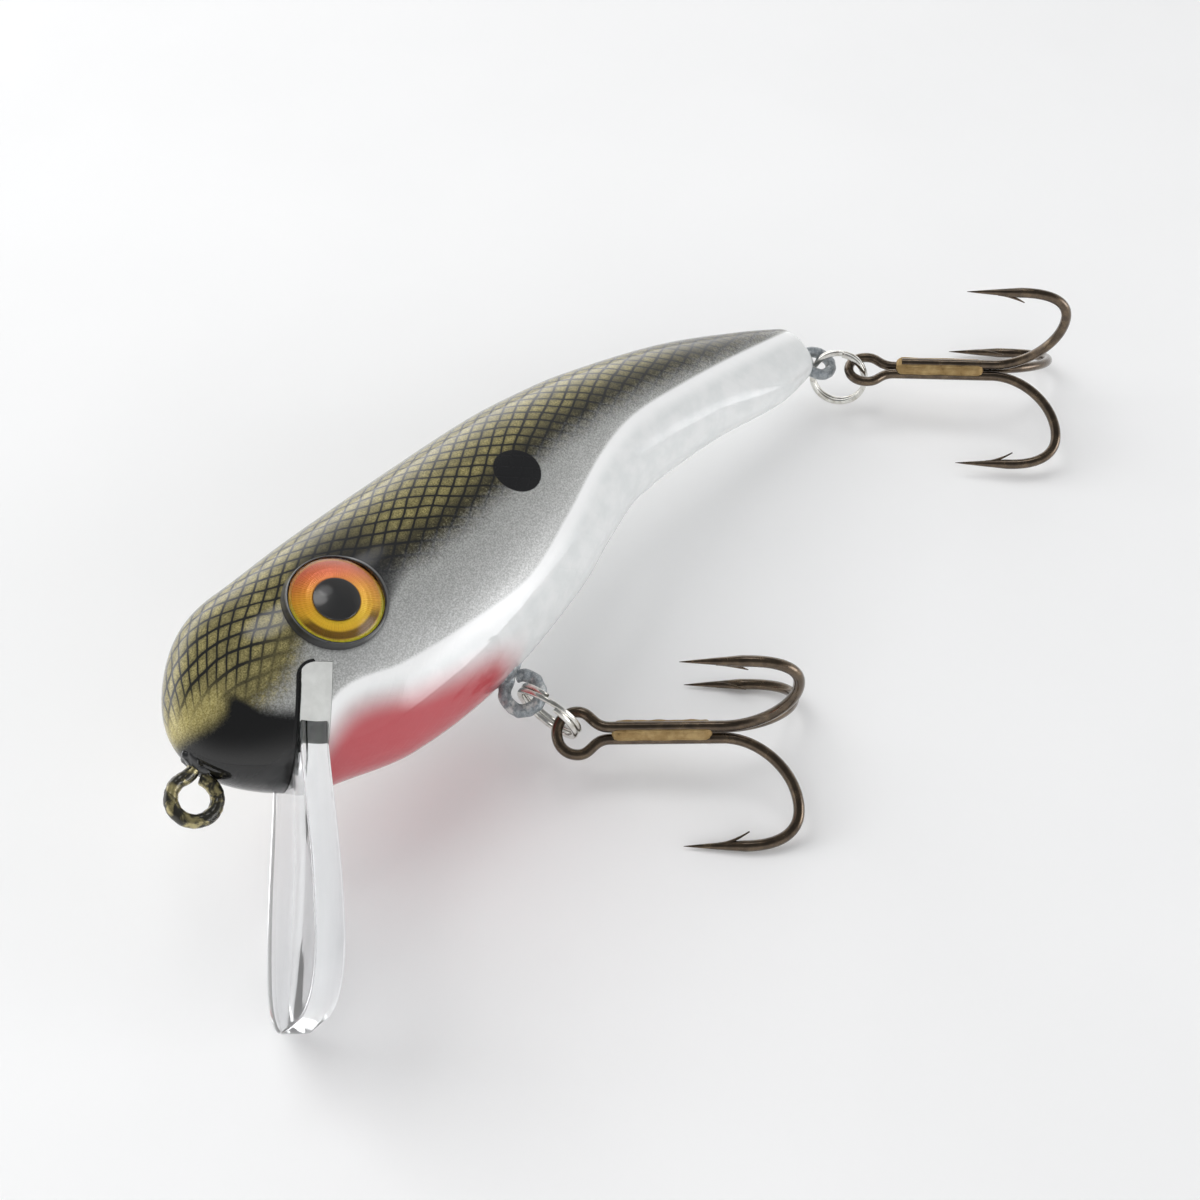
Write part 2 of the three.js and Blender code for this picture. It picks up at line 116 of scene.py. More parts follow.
def feed(shader, **sockets):
    """Links each socket of the shader to the output that drives it."""
    for socket, output in sockets.items():
        shader.id_data.links.new(output, shader.inputs[socket.replace("_", " ")])


def calc(operation, *values, clamp=False):
    """One step of arithmetic on sockets and numbers, at least one of them a socket."""
    near = next(filter(is_socket, values))
    inputs = dict(enumerate(values))
    return node(near, "ShaderNodeMath", inputs, operation=operation, use_clamp=clamp).outputs[0]


def ramp(value, low, high):
    """0 below low, 1 above high, smooth between; low may be above high to turn it round."""
    inputs = {0: value, 1: low, 2: high}
    return node(value, "ShaderNodeMapRange", inputs, interpolation_type="SMOOTHSTEP").outputs[0]


def spread(value, low, high, start=0.0, end=1.0):
    """The value's range from start to end, mapped straight to low to high."""
    return node(value, "ShaderNodeMapRange", {0: value, 1: start, 2: end, 3: low, 4: high}).outputs[0]


def blend(share, under, over):
    """Colour `over` laid on colour `under` by `share`; a colour is a socket, or red, green and blue."""
    near = next(filter(is_socket, (share, under, over)))
    low, high = (colour if is_socket(colour) else (*colour, 1) for colour in (under, over))
    return node(near, "ShaderNodeMix", {0: share, 6: low, 7: high}, data_type="RGBA").outputs[2]


def noise(near, scale, detail=3.0, roughness=0.55, distortion=0.0):
    """Noise at `scale` waves per metre on Object coordinates, from 0 to 1."""
    place = node(near, "ShaderNodeTexCoord").outputs["Object"]
    return node(near, "ShaderNodeTexNoise", {"Vector": place, "Scale": scale, "Detail": detail,
                "Roughness": roughness, "Distortion": distortion}).outputs["Fac"]


def bump(shader, height, distance, strength, socket="Normal"):
    made = node(shader, "ShaderNodeBump", {"Height": height, "Distance": distance, "Strength": strength})
    shader.id_data.links.new(made.outputs[0], shader.inputs[socket])


def mesh_object(name, points, faces, finish):
    """A smooth mesh piece from an array of points in metres and lists of corner numbers."""
    mesh = bpy.data.meshes.new(name)
    mesh.from_pydata(points.tolist(), [], faces)
    mesh.materials.append(finish)
    mesh.shade_smooth()
    mesh.update()
    return link(bpy.data.objects.new(name, mesh))


TABLE_HALF = 3.0
table_paint, table_shader = material("table_matt_white", Roughness=0.55, Specular_IOR_Level=0.25)
feed(table_shader, Base_Color=blend(ramp(noise(table_shader, 9.0), 0.35, 0.65), (0.93,) * 3, (0.95,) * 3))
bump(table_shader, noise(table_shader, 2500.0), 0.00002, 0.3)
table_corners = np.array([[-1, -1, 0], [1, -1, 0], [1, 1, 0], [-1, 1, 0]]) * TABLE_HALF
mesh_object("table", table_corners, [(0, 1, 2, 3)], table_paint)

# Two square soft lights that face the middle of the table: name, place, size and power in watts.
SOFTBOXES = (("key_window", (-0.35, 0.75, 0.95), 1.0, 8.0), ("front_fill", (-0.9, -0.6, 0.8), 0.9, 3.0))
for name, place, size, power in SOFTBOXES:
    lamp = bpy.data.lights.new(name, "AREA")
    lamp.shape = "RECTANGLE"
    lamp.size = lamp.size_y = size
    lamp.energy = power
    softbox = link(bpy.data.objects.new(name, lamp))
    softbox.location = place
    softbox.rotation_euler = (-Vector(place)).to_track_quat("-Z", "Y").to_euler()
    softbox.visible_glossy = False

world = bpy.data.worlds.new("white_room")
bpy.context.scene.world = world
world.use_nodes = True
sky = world.node_tree.nodes["Background"]
heading = node(sky, "ShaderNodeTexCoord").outputs["Generated"]
heading_parts = node(sky, "ShaderNodeSeparateXYZ", {0: heading}).outputs


def glow(direction, inner, outer):
    """1 within `inner` degrees of a direction, fading to 0 at `outer` degrees."""
    aim = tuple(Vector(direction).normalized())
    cosine = node(sky, "ShaderNodeVectorMath", {0: heading, 1: aim}, operation="DOT_PRODUCT").outputs["Value"]
    return ramp(cosine, math.cos(math.radians(outer)), math.cos(math.radians(inner)))


# White walls, brighter towards the window, a dim ceiling, a window glow and a small lamp overhead.
wall = blend(ramp(heading_parts["Y"], 0.1, 0.85), (1.0, 1.0, 1.0), (2.3, 2.3, 2.3))
room = blend(ramp(heading_parts["Z"], 0.12, 0.75), wall, (0.20, 0.205, 0.21))
room = blend(glow((0.55, -0.80, 0.14), 6, 24), room, (5.0, 5.0, 5.1))
room = blend(glow((0.30, 0.22, 0.93), 3, 12), room, (3.2, 3.2, 3.2))
feed(sky, Color=room)
bpy.context.scene.view_settings.view_transform = "Standard"


# ---- The body -------------------------------------------------------------------------------
# One block, carved to a banana shape with a blunt round nose and a thin flat tail, then primed,
# airbrushed through a net stencil, and dipped in clear coat. It lies rolled on its side. The fish's
# axes run from the nose along X, towards the back along Y and to its left along Z, in millimetres.
BODY_LENGTH = 160.0
# Along the length: x, height of the back, height of the belly, half the thickness.
STATIONS = np.array([
    [0, 11.0, -19.2, 9.9], [10, 14.2, -20.9, 10.6], [21, 15.5, -23.0, 12.0], [35, 17.7, -25.2, 14.2],
    [56, 20.2, -23.2, 15.1], [80, 22.6, -16.2, 13.8], [92, 22.8, -10.8, 12.5], [104, 22.2, -6.3, 11.1],
    [128, 18.8, -3.8, 8.1], [148, 13.5, -4.0, 4.9], [160, 9.2, -1.6, 3.3]])
NOSE_ROUNDING = 20.0
TAIL_ROUNDING = 2.6
TAIL_BLUNTNESS = 0.55
BODY_SQUARENESS = 2.2
NOSE_TIP = 0.05
ROLL = math.radians(25)
PITCH = math.radians(8.6)
TAIL_HANGER = np.array([161.6, -0.4, 0.0])

fish_x = np.array([math.cos(PITCH), 0, -math.sin(PITCH)])
fish_y = np.array([math.sin(PITCH) * math.sin(ROLL), math.cos(ROLL), math.cos(PITCH) * math.sin(ROLL)])
fish_axes = np.stack([fish_x, fish_y, np.cross(fish_x, fish_y)])
fish_nose = joint_place("tail_ring_swing") / MM - TAIL_HANGER @ fish_axes


def from_fish(points):
    """Points in the fish's millimetres, turned and moved to the row frame in metres."""
    return (points @ fish_axes + fish_nose) * MM


def vertices_in_fish(piece):
    """The vertices of a piece, back in the fish's millimetres."""
    flat = np.empty(len(piece.data.vertices) * 3)
    piece.data.vertices.foreach_get("co", flat)
    return (flat.reshape(-1, 3) / MM - fish_nose) @ fish_axes.T


def through(curve, x):
    """Cubic Hermite curve through points (x, y), each slope taken from the two neighbours."""
    stations, values = curve.T
    before = np.maximum(np.arange(len(stations)) - 1, 0)
    after = np.minimum(np.arange(len(stations)) + 1, len(stations) - 1)
    slopes = (values[after] - values[before]) / (stations[after] - stations[before])
    i = np.clip(np.searchsorted(stations, x, side="right") - 1, 0, len(stations) - 2)
    span = stations[i + 1] - stations[i]
    t = (x - stations[i]) / span
    return ((2 * t**3 - 3 * t**2 + 1) * values[i] + (t**3 - 2 * t**2 + t) * span * slopes[i]
            + (3 * t**2 - 2 * t**3) * values[i + 1] + (t**3 - t**2) * span * slopes[i + 1])


def body_section(x):
    """Middle height, half height and half width of the body at x, rounded off at both ends."""
    nose = 1 - np.minimum(1, x / NOSE_ROUNDING)
    tail = 1 - np.clip((BODY_LENGTH - x) / TAIL_ROUNDING, 0, 1)
    rounding = np.sqrt(1 - nose**2) * (TAIL_BLUNTNESS + (1 - TAIL_BLUNTNESS) * np.sqrt(1 - tail**2))
    back, belly, thick = (through(STATIONS[:, [0, column]], x) for column in (1, 2, 3))
    return (back + belly) / 2, (back - belly) / 2 * rounding, thick * rounding


def signed_power(value, power):
    return np.sign(value) * np.abs(value) ** power


def full_turn(steps):
    """Angles of points evenly round a circle."""
    return np.linspace(0, 2 * np.pi, steps, endpoint=False)


def body_surface(x, around):
    """Superellipse section: y = middle + h cos^p and z = w sin^p with p = 2 / squareness and the signs
    kept, around from the back."""
    middle, high, wide = body_section(x)
    power = 2 / BODY_SQUARENESS
    return np.stack([x + 0 * around, middle + high * signed_power(np.cos(around), power),
                     wide * signed_power(np.sin(around), power)], axis=-1)


def tube_faces(rings, sides, first=0):
    """Quads of a tube of `rings` rings of `sides` points, with a flat cap on each end."""
    i = np.arange(rings - 1)[:, None] * sides + first
    j = np.arange(sides)[None, :]
    k = (j + 1) % sides
    quads = np.stack([i + j, i + k, i + sides + k, i + sides + j], axis=-1).reshape(-1, 4).tolist()
    last = first + (rings - 1) * sides
    return quads + [list(range(first + sides - 1, first - 1, -1)), list(range(last, last + sides))]


def tube(name, rings, finish, place=from_fish):
    """A closed piece from an array of rings of points, put in place by a function."""
    return mesh_object(name, place(rings.reshape(-1, 3)), tube_faces(*rings.shape[:2]), finish)


def carve(target, cutter, operation="DIFFERENCE"):
    """Cuts the cutter out of the target, exactly, leaves plain mesh and throws the cutter away."""
    cut = target.modifiers.new("cut", "BOOLEAN")
    cut.operation = operation
    cut.solver = "EXACT"
    cut.object = cutter
    result = bpy.data.meshes.new_from_object(target.evaluated_get(bpy.context.evaluated_depsgraph_get()))
    target.modifiers.clear()
    target.data = result
    bpy.data.objects.remove(cutter)


# Where the slot for the lip and the sockets for the eyes are cut.
LIP_ROOT = np.array([15.3, -18.1, 0.0])
LIP_RAKE = math.radians(33.5)
LIP_THICKNESS = 4.76
SLOT_PLAY = 0.35
SLOT_TOP = -14.9
SLOT_CORNER = 2.6
CUTTER_HALF = 30.0
lip_down = np.array([-math.sin(LIP_RAKE), -math.cos(LIP_RAKE), 0.0])
lip_front = np.array([-math.cos(LIP_RAKE), math.sin(LIP_RAKE), 0.0])
lip_axes = np.stack([lip_down, np.cross(lip_front, lip_down), lip_front])

EYE_CENTRE = np.array([32.2, 1.4, 14.1])
EYE_TILT = math.radians(7)
EYE_RADIUS = 8.0
SOCKET_DEPTH = 1.6
SOCKET_RADIUS = 8.25
SOCKET_RIM = 10.0
TURNED_SIDES = 96


def from_lip(points):
    """Points along the lip's down, across and front axes, in the row frame."""
    return from_fish(points @ lip_axes + LIP_ROOT)


def slot_block(name, top, half, reach):
    """A block as thick as the slot, its front upper corner a quarter circle: an outline in the plane
    of down and front, carried straight across."""
    bend = np.linspace(0, np.pi / 2, 10)
    down = np.concatenate([[reach, top], top + SLOT_CORNER * (1 - np.cos(bend)), [reach]])
    front = np.concatenate([[-half, -half], half - SLOT_CORNER * (1 - np.sin(bend)), [half]])
    across = np.array([[-CUTTER_HALF], [CUTTER_HALF]])
    ends = np.stack([down + 0 * across, across + 0 * down, front + 0 * across], -1)
    return tube(name, ends, None, from_lip)


def eye_axes(side):
    """Axes of an eye, X towards the tail and Z out of the head, and the middle of its rim."""
    out = np.array([0, math.sin(EYE_TILT), side * math.cos(EYE_TILT)])
    along = np.array([1.0, 0, 0])
    return np.stack([along, np.cross(out, along), out]), EYE_CENTRE * np.array([1, 1, side])


def turned_solid(name, profile, axes, centre, finish):
    """A closed turned shape: (radius, height) pairs, spun about the third axis."""
    radii, heights = np.array(profile, float).T[..., None]
    turn = full_turn(TURNED_SIDES)
    rings = np.stack([radii * np.cos(turn), radii * np.sin(turn), heights + 0 * turn], axis=-1)
    return tube(name, rings, finish, lambda points: from_fish(points @ axes + centre))


BODY_RINGS = 300
BODY_SIDES = 176
RING_CROWDING = 0.9
crowded = 0.5 - 0.5 * np.cos(np.pi * np.linspace(0, 1, BODY_RINGS) ** RING_CROWDING)
ring_x = NOSE_TIP + (BODY_LENGTH - NOSE_TIP) * crowded
body_grid = body_surface(ring_x[:, None], -full_turn(BODY_SIDES))
body_paint, paint = material("airbrushed_body_under_clear_coat", Specular_IOR_Level=0.15, Coat_Weight=1.0,
                             Coat_Roughness=0.035, Coat_IOR=1.52)
body = tube("painted_body", body_grid, body_paint)
slot_half = LIP_THICKNESS / 2 + SLOT_PLAY
carve(body, slot_block("slot_cutter", SLOT_TOP, slot_half, 20))
for side in (1, -1):
    axes, rim = eye_axes(side)
    socket_profile = [(SOCKET_RADIUS, -SOCKET_DEPTH), (SOCKET_RADIUS, SOCKET_RIM)]
    carve(body, turned_solid("socket_cutter", socket_profile, axes, rim, None))

# Where each colour lies: the white belly's edge, the chin's upper edge and the lower edge of the
# netted back, as heights along the side, and the middle of the spot.
WHITE_EDGE = np.array([
    [0, -16], [15, -15.5], [25, -11.6], [36, -13.2], [53, -12.9], [66, -11.2], [80, -5.0],
    [94, 2.0], [106, 5.9], [122, 7.3], [140, 8.0], [160, 8.2]])
CHIN_EDGE = np.array([[0, -4.2], [5, -5.0], [7.5, -4.4], [9.5, -2.8], [12, -7.4], [18, -11.6], [30, -15.0]])
BACK_EDGE = np.array([
    [0, -6.0], [6, -6.5], [12, -6.5], [18, -4.5], [23, -1.5], [28, 2.5], [34, 4.5], [46, 1.6],
    [64, 3.6], [80, 7.0], [92, 9.0], [110, 10.2], [130, 10.0], [160, 9.2]])
SPOT_CENTRE = np.array([76.0, 6.2])
SPOT_RADIUS = 4.65
SPOT_FLATTENING = 1.04
SPOT_SEARCH = 12
GIRTH_STEPS = 60
FAR_OFF = 99.0
FAR_FROM_SLOT = 9.0

fish = vertices_in_fish(body)
fish_length, fish_height, fish_left = fish.T
middle, high, wide = body_section(np.clip(fish_length, NOSE_TIP, BODY_LENGTH))
turn = np.arctan2(signed_power(fish_left / np.maximum(wide, 0.01), BODY_SQUARENESS / 2),
                  signed_power((fish_height - middle) / np.maximum(high, 0.01), BODY_SQUARENESS / 2))


def travelled(points):
    """Length of the path up to each of its points, the path along the last axis but one."""
    steps = np.linalg.norm(np.diff(points, axis=-2), axis=-1)
    return np.concatenate([np.zeros(steps.shape[:-1] + (1,)), np.cumsum(steps, axis=-1)], axis=-1)


# Length of surface along the body from the nose tip, and round the body from the back's ridge.
ridge_length = travelled(body_surface(ring_x, np.zeros(BODY_RINGS)))
flank_length = travelled(body_surface(ring_x, np.full(BODY_RINGS, np.pi / 2)))
girth = travelled(body_surface(ring_x[:, None], np.linspace(0, np.pi, GIRTH_STEPS + 1)))
row = np.interp(fish_length, ring_x, np.arange(BODY_RINGS))
column = np.abs(turn) / np.pi * GIRTH_STEPS
i = np.clip(row.astype(int), 0, BODY_RINGS - 2)
j = np.clip(column.astype(int), 0, GIRTH_STEPS - 1)
row_share = row - i
column_share = column - j
round_mm = ((girth[i, j] * (1 - column_share) + girth[i, j + 1] * column_share) * (1 - row_share)
            + (girth[i + 1, j] * (1 - column_share) + girth[i + 1, j + 1] * column_share) * row_share)

eye_gap = np.full(len(fish), FAR_OFF)
for side in (1, -1):
    axes, rim = eye_axes(side)
    in_eye = (fish - rim) @ axes.T
    near_eye = (in_eye[:, 2] > -EYE_RADIUS) & (np.sign(fish_left) == side)
    outside = np.hypot(in_eye[:, 0], in_eye[:, 1]) - EYE_RADIUS
    eye_gap = np.where(near_eye, np.minimum(eye_gap, outside), eye_gap)
in_front = (fish - LIP_ROOT) @ lip_front
below = (fish - LIP_ROOT) @ lip_down
corner_gap = np.hypot(in_front - slot_half + SLOT_CORNER, below - SLOT_TOP - SLOT_CORNER) - SLOT_CORNER
slot_gap = np.where(in_front > slot_half - SLOT_CORNER, corner_gap, FAR_FROM_SLOT)
slot_gap = np.where(below > SLOT_TOP + SLOT_CORNER, in_front - slot_half, slot_gap)
spot_gap = np.hypot(fish_length - SPOT_CENTRE[0], (fish_height - SPOT_CENTRE[1]) * SPOT_FLATTENING)
marks = {
    "along_mm": np.interp(fish_length, ring_x, 0.4 * ridge_length + 0.6 * flank_length),
    "round_mm": round_mm * np.sign(turn),
    "white_mm": through(WHITE_EDGE, fish_length) - fish_height,
    "back_mm": fish_height - through(BACK_EDGE, fish_length),
    "spot_mm": np.where(np.abs(fish_length - SPOT_CENTRE[0]) < SPOT_SEARCH, spot_gap, FAR_OFF),
    "eye_mm": eye_gap,
    "front_mm": in_front,
    "slot_mm": np.where(in_front > 0, np.abs(slot_gap), FAR_FROM_SLOT),
    "chin_mm": through(CHIN_EDGE, fish_length) - fish_height,
    "length_mm": fish_length,
    "height_mm": fish_height,
}


def write_mark(piece, name, values):
    """Stores one number for each vertex, for the finish to read by its name."""
    piece.data.attributes.new(name, "FLOAT", "POINT").data.foreach_set("value", values.astype(np.float32))


def read_mark(near, name):
    return node(near, "ShaderNodeAttribute", attribute_name=name).outputs["Fac"]


def plus(first, *others):
    for other in others:
        first = calc("ADD", first, other)
    return first


def times(first, *others):
    for other in others:
        first = calc("MULTIPLY", first, other)
    return first


def swing(value, reach):
    """A value from 0 to 1, centred on 0 and stretched to the reach."""
    return times(calc("SUBTRACT", value, 0.5), reach)


for name, values in marks.items():
    write_mark(body, name, values)
mark = {name: read_mark(paint, name) for name in marks}
fleck = noise(paint, 3400.0, 2.0, 0.7)
speckle = noise(paint, 2300.0, 3.0, 0.75)
dusting = swing(speckle, 2.6)
wobble = swing(noise(paint, 190.0, 2.0), 1.6)

# Silver flake side with a fine sparkle, painted lighter low down as painted light where the lower side faces
# the window glow.
sparkle = ramp(fleck, 0.35, 0.68)
silver = blend(ramp(mark["back_mm"], -2.0, -16.0),
               blend(sparkle, (0.33, 0.335, 0.32), (0.56, 0.565, 0.55)),
               blend(sparkle, (0.44, 0.445, 0.435), (0.68, 0.685, 0.675)))

# Gold back under a net: two families of lines that cross, rounded and thicker where they meet.
CELL_LONG = 4.1
CELL_WIDE = 2.75
stretch = times(calc("SINE", times(mark["along_mm"], 0.23)), 0.10)
slack = swing(noise(paint, 150.0, 2.0), 0.42)
sag = swing(noise(paint, 110.0, 2.0, 0.5, 0.6), 0.34)
cells_round = plus(calc("DIVIDE", mark["round_mm"], CELL_WIDE), stretch, slack)
cells_along = plus(calc("DIVIDE", mark["along_mm"], CELL_LONG), sag)
rising = calc("PINGPONG", plus(cells_along, cells_round), 0.5)
falling = calc("PINGPONG", calc("SUBTRACT", cells_along, cells_round), 0.5)
to_line = calc("SMOOTH_MIN", rising, falling, 0.16)
net = ramp(plus(to_line, swing(speckle, 0.07)), 0.125, 0.06)
gold = blend(ramp(fleck, 0.3, 0.7), (0.145, 0.124, 0.044), (0.47, 0.405, 0.165))
gold = blend(times(ramp(noise(paint, 330.0, 1.0), 0.42, 0.62), 0.38), gold, (0.075, 0.065, 0.028))
dull_gold = blend(0.45, gold, (0.11, 0.094, 0.036))
gold = blend(ramp(times(ramp(to_line, 0.05, 0.34), speckle), 0.15, 0.55), dull_gold, gold)

# Black dusted over the gold where the back turns into the side, and over all of the tail's back.
BLACK = (0.012, 0.012, 0.011)
depth = plus(mark["back_mm"], wobble)
shade = ramp(plus(depth, times(dusting, 2.6)), 8.5, 1.8)
shade = ramp(plus(shade, swing(speckle, 1.5)), 0.35, 1.15)
shade = times(shade, ramp(mark["length_mm"], 18.0, 30.0))
tail_shade = times(ramp(mark["length_mm"], 104.0, 140.0), 0.82)
back = blend(times(calc("MAXIMUM", shade, tail_shade), 0.86), gold, BLACK)

# A brighter gilt snout, where the net has all but gone; on the cheek the net is faint.
snout = times(ramp(mark["length_mm"], 13.0, 6.0), ramp(mark["back_mm"], 9.5, 4.0), 0.8)
cheek = times(ramp(mark["length_mm"], 34.0, 26.0), ramp(mark["back_mm"], 7.5, 0.5), 0.75)
gilt = blend(ramp(fleck, 0.3, 0.7), (0.34, 0.28, 0.085), (0.66, 0.57, 0.24))
net_left = times(calc("SUBTRACT", 1.0, snout), calc("SUBTRACT", 1.0, cheek))
back = blend(times(net, net_left), blend(snout, back, gilt), BLACK)
colour = blend(ramp(plus(depth, times(dusting, 2.2)), -4.2, 1.8), silver, back)

# Charcoal halo round the eye, drawn out behind it.
behind_eye = times(ramp(mark["length_mm"], 26.0, 44.0), ramp(mark["height_mm"], -5.0, 4.0))
halo_reach = plus(1.3, times(behind_eye, 12.5))
halo = calc("SUBTRACT", 1.0, calc("DIVIDE", mark["eye_mm"], halo_reach), clamp=True)
halo = times(ramp(plus(halo, times(dusting, 0.12)), 0.0, 1.0), 0.93)
colour = blend(halo, colour, (0.018, 0.018, 0.02))

# White belly with a crisp upper edge and a pearl film, and a paler band along that edge painted as a
# highlight.
pearl_with_painted_highlight = blend(ramp(noise(paint, 260.0, 2.0, 0.5), 0.3, 0.7), (0.76, 0.77, 0.765), (0.69, 0.71, 0.705))
# Painted highlight: a near-white band just under the belly's upper edge, where the edge catches the light.
pearl_with_painted_highlight = blend(ramp(mark["white_mm"], 4.0, 1.0), pearl_with_painted_highlight, (0.90, 0.905, 0.90))
behind_lip = ramp(mark["front_mm"], -1.0, -1.2)
belly = times(ramp(plus(mark["white_mm"], times(dusting, 0.08)), -0.35, 0.5), behind_lip)
colour = blend(belly, colour, pearl_with_painted_highlight)

# Red throat from the lip to the belly hanger, soft at its upper edge.
throat = ramp(plus(mark["white_mm"], times(mark["length_mm"], -0.10)), -1.2, 4.6)
throat_end = ramp(plus(mark["length_mm"], times(wobble, 2.0)), 63.0, 50.0)
colour = blend(times(throat, throat_end, behind_lip, 0.93), colour, (0.44, 0.016, 0.030))

# Black chin in front of the lip, its edge rising at the nose.
chin = ramp(plus(mark["chin_mm"], times(dusting, 0.7)), -2.2, 1.6)
colour = blend(times(chin, ramp(mark["front_mm"], 0.2, 0.6)), colour, (0.006, 0.006, 0.006))

# A dark line along the front edge of the slot, and a glossy black spot with a crisp rim.
colour = blend(ramp(mark["slot_mm"], 0.55, 0.38), colour, (0.01, 0.01, 0.01))
colour = blend(ramp(mark["spot_mm"], SPOT_RADIUS + 0.12, SPOT_RADIUS - 0.12), colour, (0.006, 0.006, 0.007))
feed(paint, Base_Color=colour, Metallic=times(ramp(mark["white_mm"], 0.5, -1.5), 0.45),
     Roughness=spread(fleck, 0.32, 0.55))
bump(paint, plus(times(net, -0.5), times(fleck, 0.5)), 0.00005, 0.5)
bump(paint, noise(paint, 70.0, 2.0), 0.00022, 0.5, "Coat Normal")

body.data.shade_smooth()
body.data.set_sharp_from_angle(angle=math.radians(38))
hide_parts("body", "ballast_plug")
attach(body, "lure_body")


# ---- The ballast ---------------------------------------------------------------------------
# A lead slug cast to fit its drilled pocket in the belly, hidden under the painted plug. Its shape is
# the CAD model's; only its finish is given here.
lead, lead_shader = material("dull_cast_lead", Metallic=0.85, Roughness=0.6)
feed(lead_shader, Base_Color=blend(noise(lead_shader, 900.0), (0.20, 0.21, 0.22), (0.34, 0.35, 0.37)))
bump(lead_shader, noise(lead_shader, 1400.0), 0.0002, 0.5)
for slot in frame["nodes"]["ballast_weight"].material_slots:
    slot.material = lead


# ---- The diving lip ------------------------------------------------------------------------
# A flat plate sawn from clear polycarbonate sheet, widest at its rounded corners, with
# flame-polished edges, glued into the sawn slot in the head.
LIP_TANG = 13.0
LIP_LENGTH = 41.6
LIP_ROOT_HALF = 10.1
LIP_TIP_HALF = 17.0
LIP_CORNER = 10.5
LIP_EDGE = 0.45


def bezier(a, b, c, d, steps):
    """Cubic Bezier through a and d with handles b and c, without its last point."""
    t = np.linspace(0, 1, steps, endpoint=False)[:, None]
    a, b, c, d = (np.array(p, float) for p in (a, b, c, d))
    return (1 - t) ** 3 * a + 3 * (1 - t) ** 2 * t * b + 3 * (1 - t) * t**2 * c + t**3 * d


def lip_outline():
    """Half outline from the tang to the middle of the tip, mirrored to close it."""
    end, tip, root = LIP_LENGTH, LIP_TIP_HALF, LIP_ROOT_HALF
    shoulder, flat = (end - LIP_CORNER, tip), (end, tip - LIP_CORNER * 1.15)
    half = np.concatenate([
        bezier((-LIP_TANG, root), (-10, root), (-6, root), (-2, root), 6),
        bezier((-2, root), (10, root + 2.6), (18, tip), shoulder, 20),
        bezier(shoulder, (end - LIP_CORNER * 0.35, tip), (end, tip - LIP_CORNER * 0.5), flat, 16),
        bezier(flat, flat, (end, 0.3), (end, 0.3), 4)])
    return np.concatenate([half * [1, -1], half[::-1]])


def edge_profile(outline, half_thickness, edge, steps=5):
    """The outline drawn in by a quarter circle of radius `edge` towards each face."""
    following, leading = np.roll(outline, -1, 0), np.roll(outline, 1, 0)
    tangent = following - leading
    inward = np.stack([-tangent[:, 1], tangent[:, 0]], -1) / np.linalg.norm(tangent, axis=1)[:, None]
    inward *= -np.sign(np.sum(inward * (outline - outline.mean(0)), axis=1))[:, None]
    quarter = np.linspace(0, np.pi / 2, steps)
    draw = np.concatenate([edge * (1 - np.sin(quarter)), (edge * (1 - np.sin(quarter)))[::-1]])
    lift = np.concatenate([-half_thickness + edge * (1 - np.cos(quarter)),
                           half_thickness - edge * (1 - np.cos(quarter[::-1]))])
    flat = outline[None] + inward[None] * draw[:, None, None]
    return np.concatenate([flat, np.broadcast_to(lift[:, None, None], flat.shape[:2] + (1,))], axis=-1)


lip_rings = edge_profile(lip_outline(), LIP_THICKNESS / 2, LIP_EDGE)
plastic, clear = material("clear_polycarbonate", Transmission_Weight=1.0, IOR=1.42)
feed(clear, Base_Color=blend(noise(clear, 60.0), (0.90, 0.91, 0.925), (0.86, 0.875, 0.89)),
     Roughness=spread(noise(clear, 400.0, 4.0, 0.7), 0.015, 0.07, 0.45, 0.8))
bump(clear, noise(clear, 120.0, 2.0), 0.0001, 0.25)
lip = tube("clear_diving_lip", lip_rings, plastic, from_lip)
lip.data.set_sharp_from_angle(angle=math.radians(50))
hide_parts("diving_lip")
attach(lip, "lure_body")


# ---- The lip's epoxy -----------------------------------------------------------------------
# Pale clear glue that bonds the lip: it fills the slot round the plate and is wiped flush with the
# body. The chin's black paint runs over its bead in front of the plate.
EPOXY_GAP = 0.06
LIP_ROOM = 1.003
epoxy, glass = material("clear_cured_epoxy", Transmission_Weight=0.3, IOR=1.3, Coat_Weight=0.6,
                        Roughness=0.12)
pale = blend(ramp(noise(glass, 350.0), 0.3, 0.7), (0.80, 0.81, 0.78), (0.93, 0.94, 0.91))
before_plate = plus(read_mark(glass, "front_mm"), times(noise(glass, 600.0), 0.3))
painted = ramp(before_plate, LIP_THICKNESS / 2 + 0.05, LIP_THICKNESS / 2 + 0.15)
feed(glass, Base_Color=blend(painted, pale, (0.008, 0.008, 0.008)))
bump(glass, noise(glass, 500.0), 0.0002, 0.3)

glue = tube("lip_slot_glue", body_grid, epoxy)
carve(glue, slot_block("slot_core", SLOT_TOP + EPOXY_GAP, slot_half - EPOXY_GAP, 30), "INTERSECT")
room_rings = edge_profile(lip_outline() * LIP_ROOM, LIP_THICKNESS / 2 + EPOXY_GAP, LIP_EDGE)
carve(glue, tube("lip_room", room_rings, None, from_lip))
write_mark(glue, "front_mm", (vertices_in_fish(glue) - LIP_ROOT) @ lip_front)
glue.data.shade_smooth()
glue.data.set_sharp_from_angle(angle=math.radians(35))
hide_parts("lip_slot_epoxy")
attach(glue, "lure_body")


# ---- The eyes ------------------------------------------------------------------------------
# A stamped foil disc with a radial grain, orange above and gold below, a black printed pupil, and a
# clear resin dome cast over them, set into a socket with a bead of black paint.
FOIL_RADIUS = 7.85
FOIL_TOP = 0.56
RESIN_UNDER = 0.04
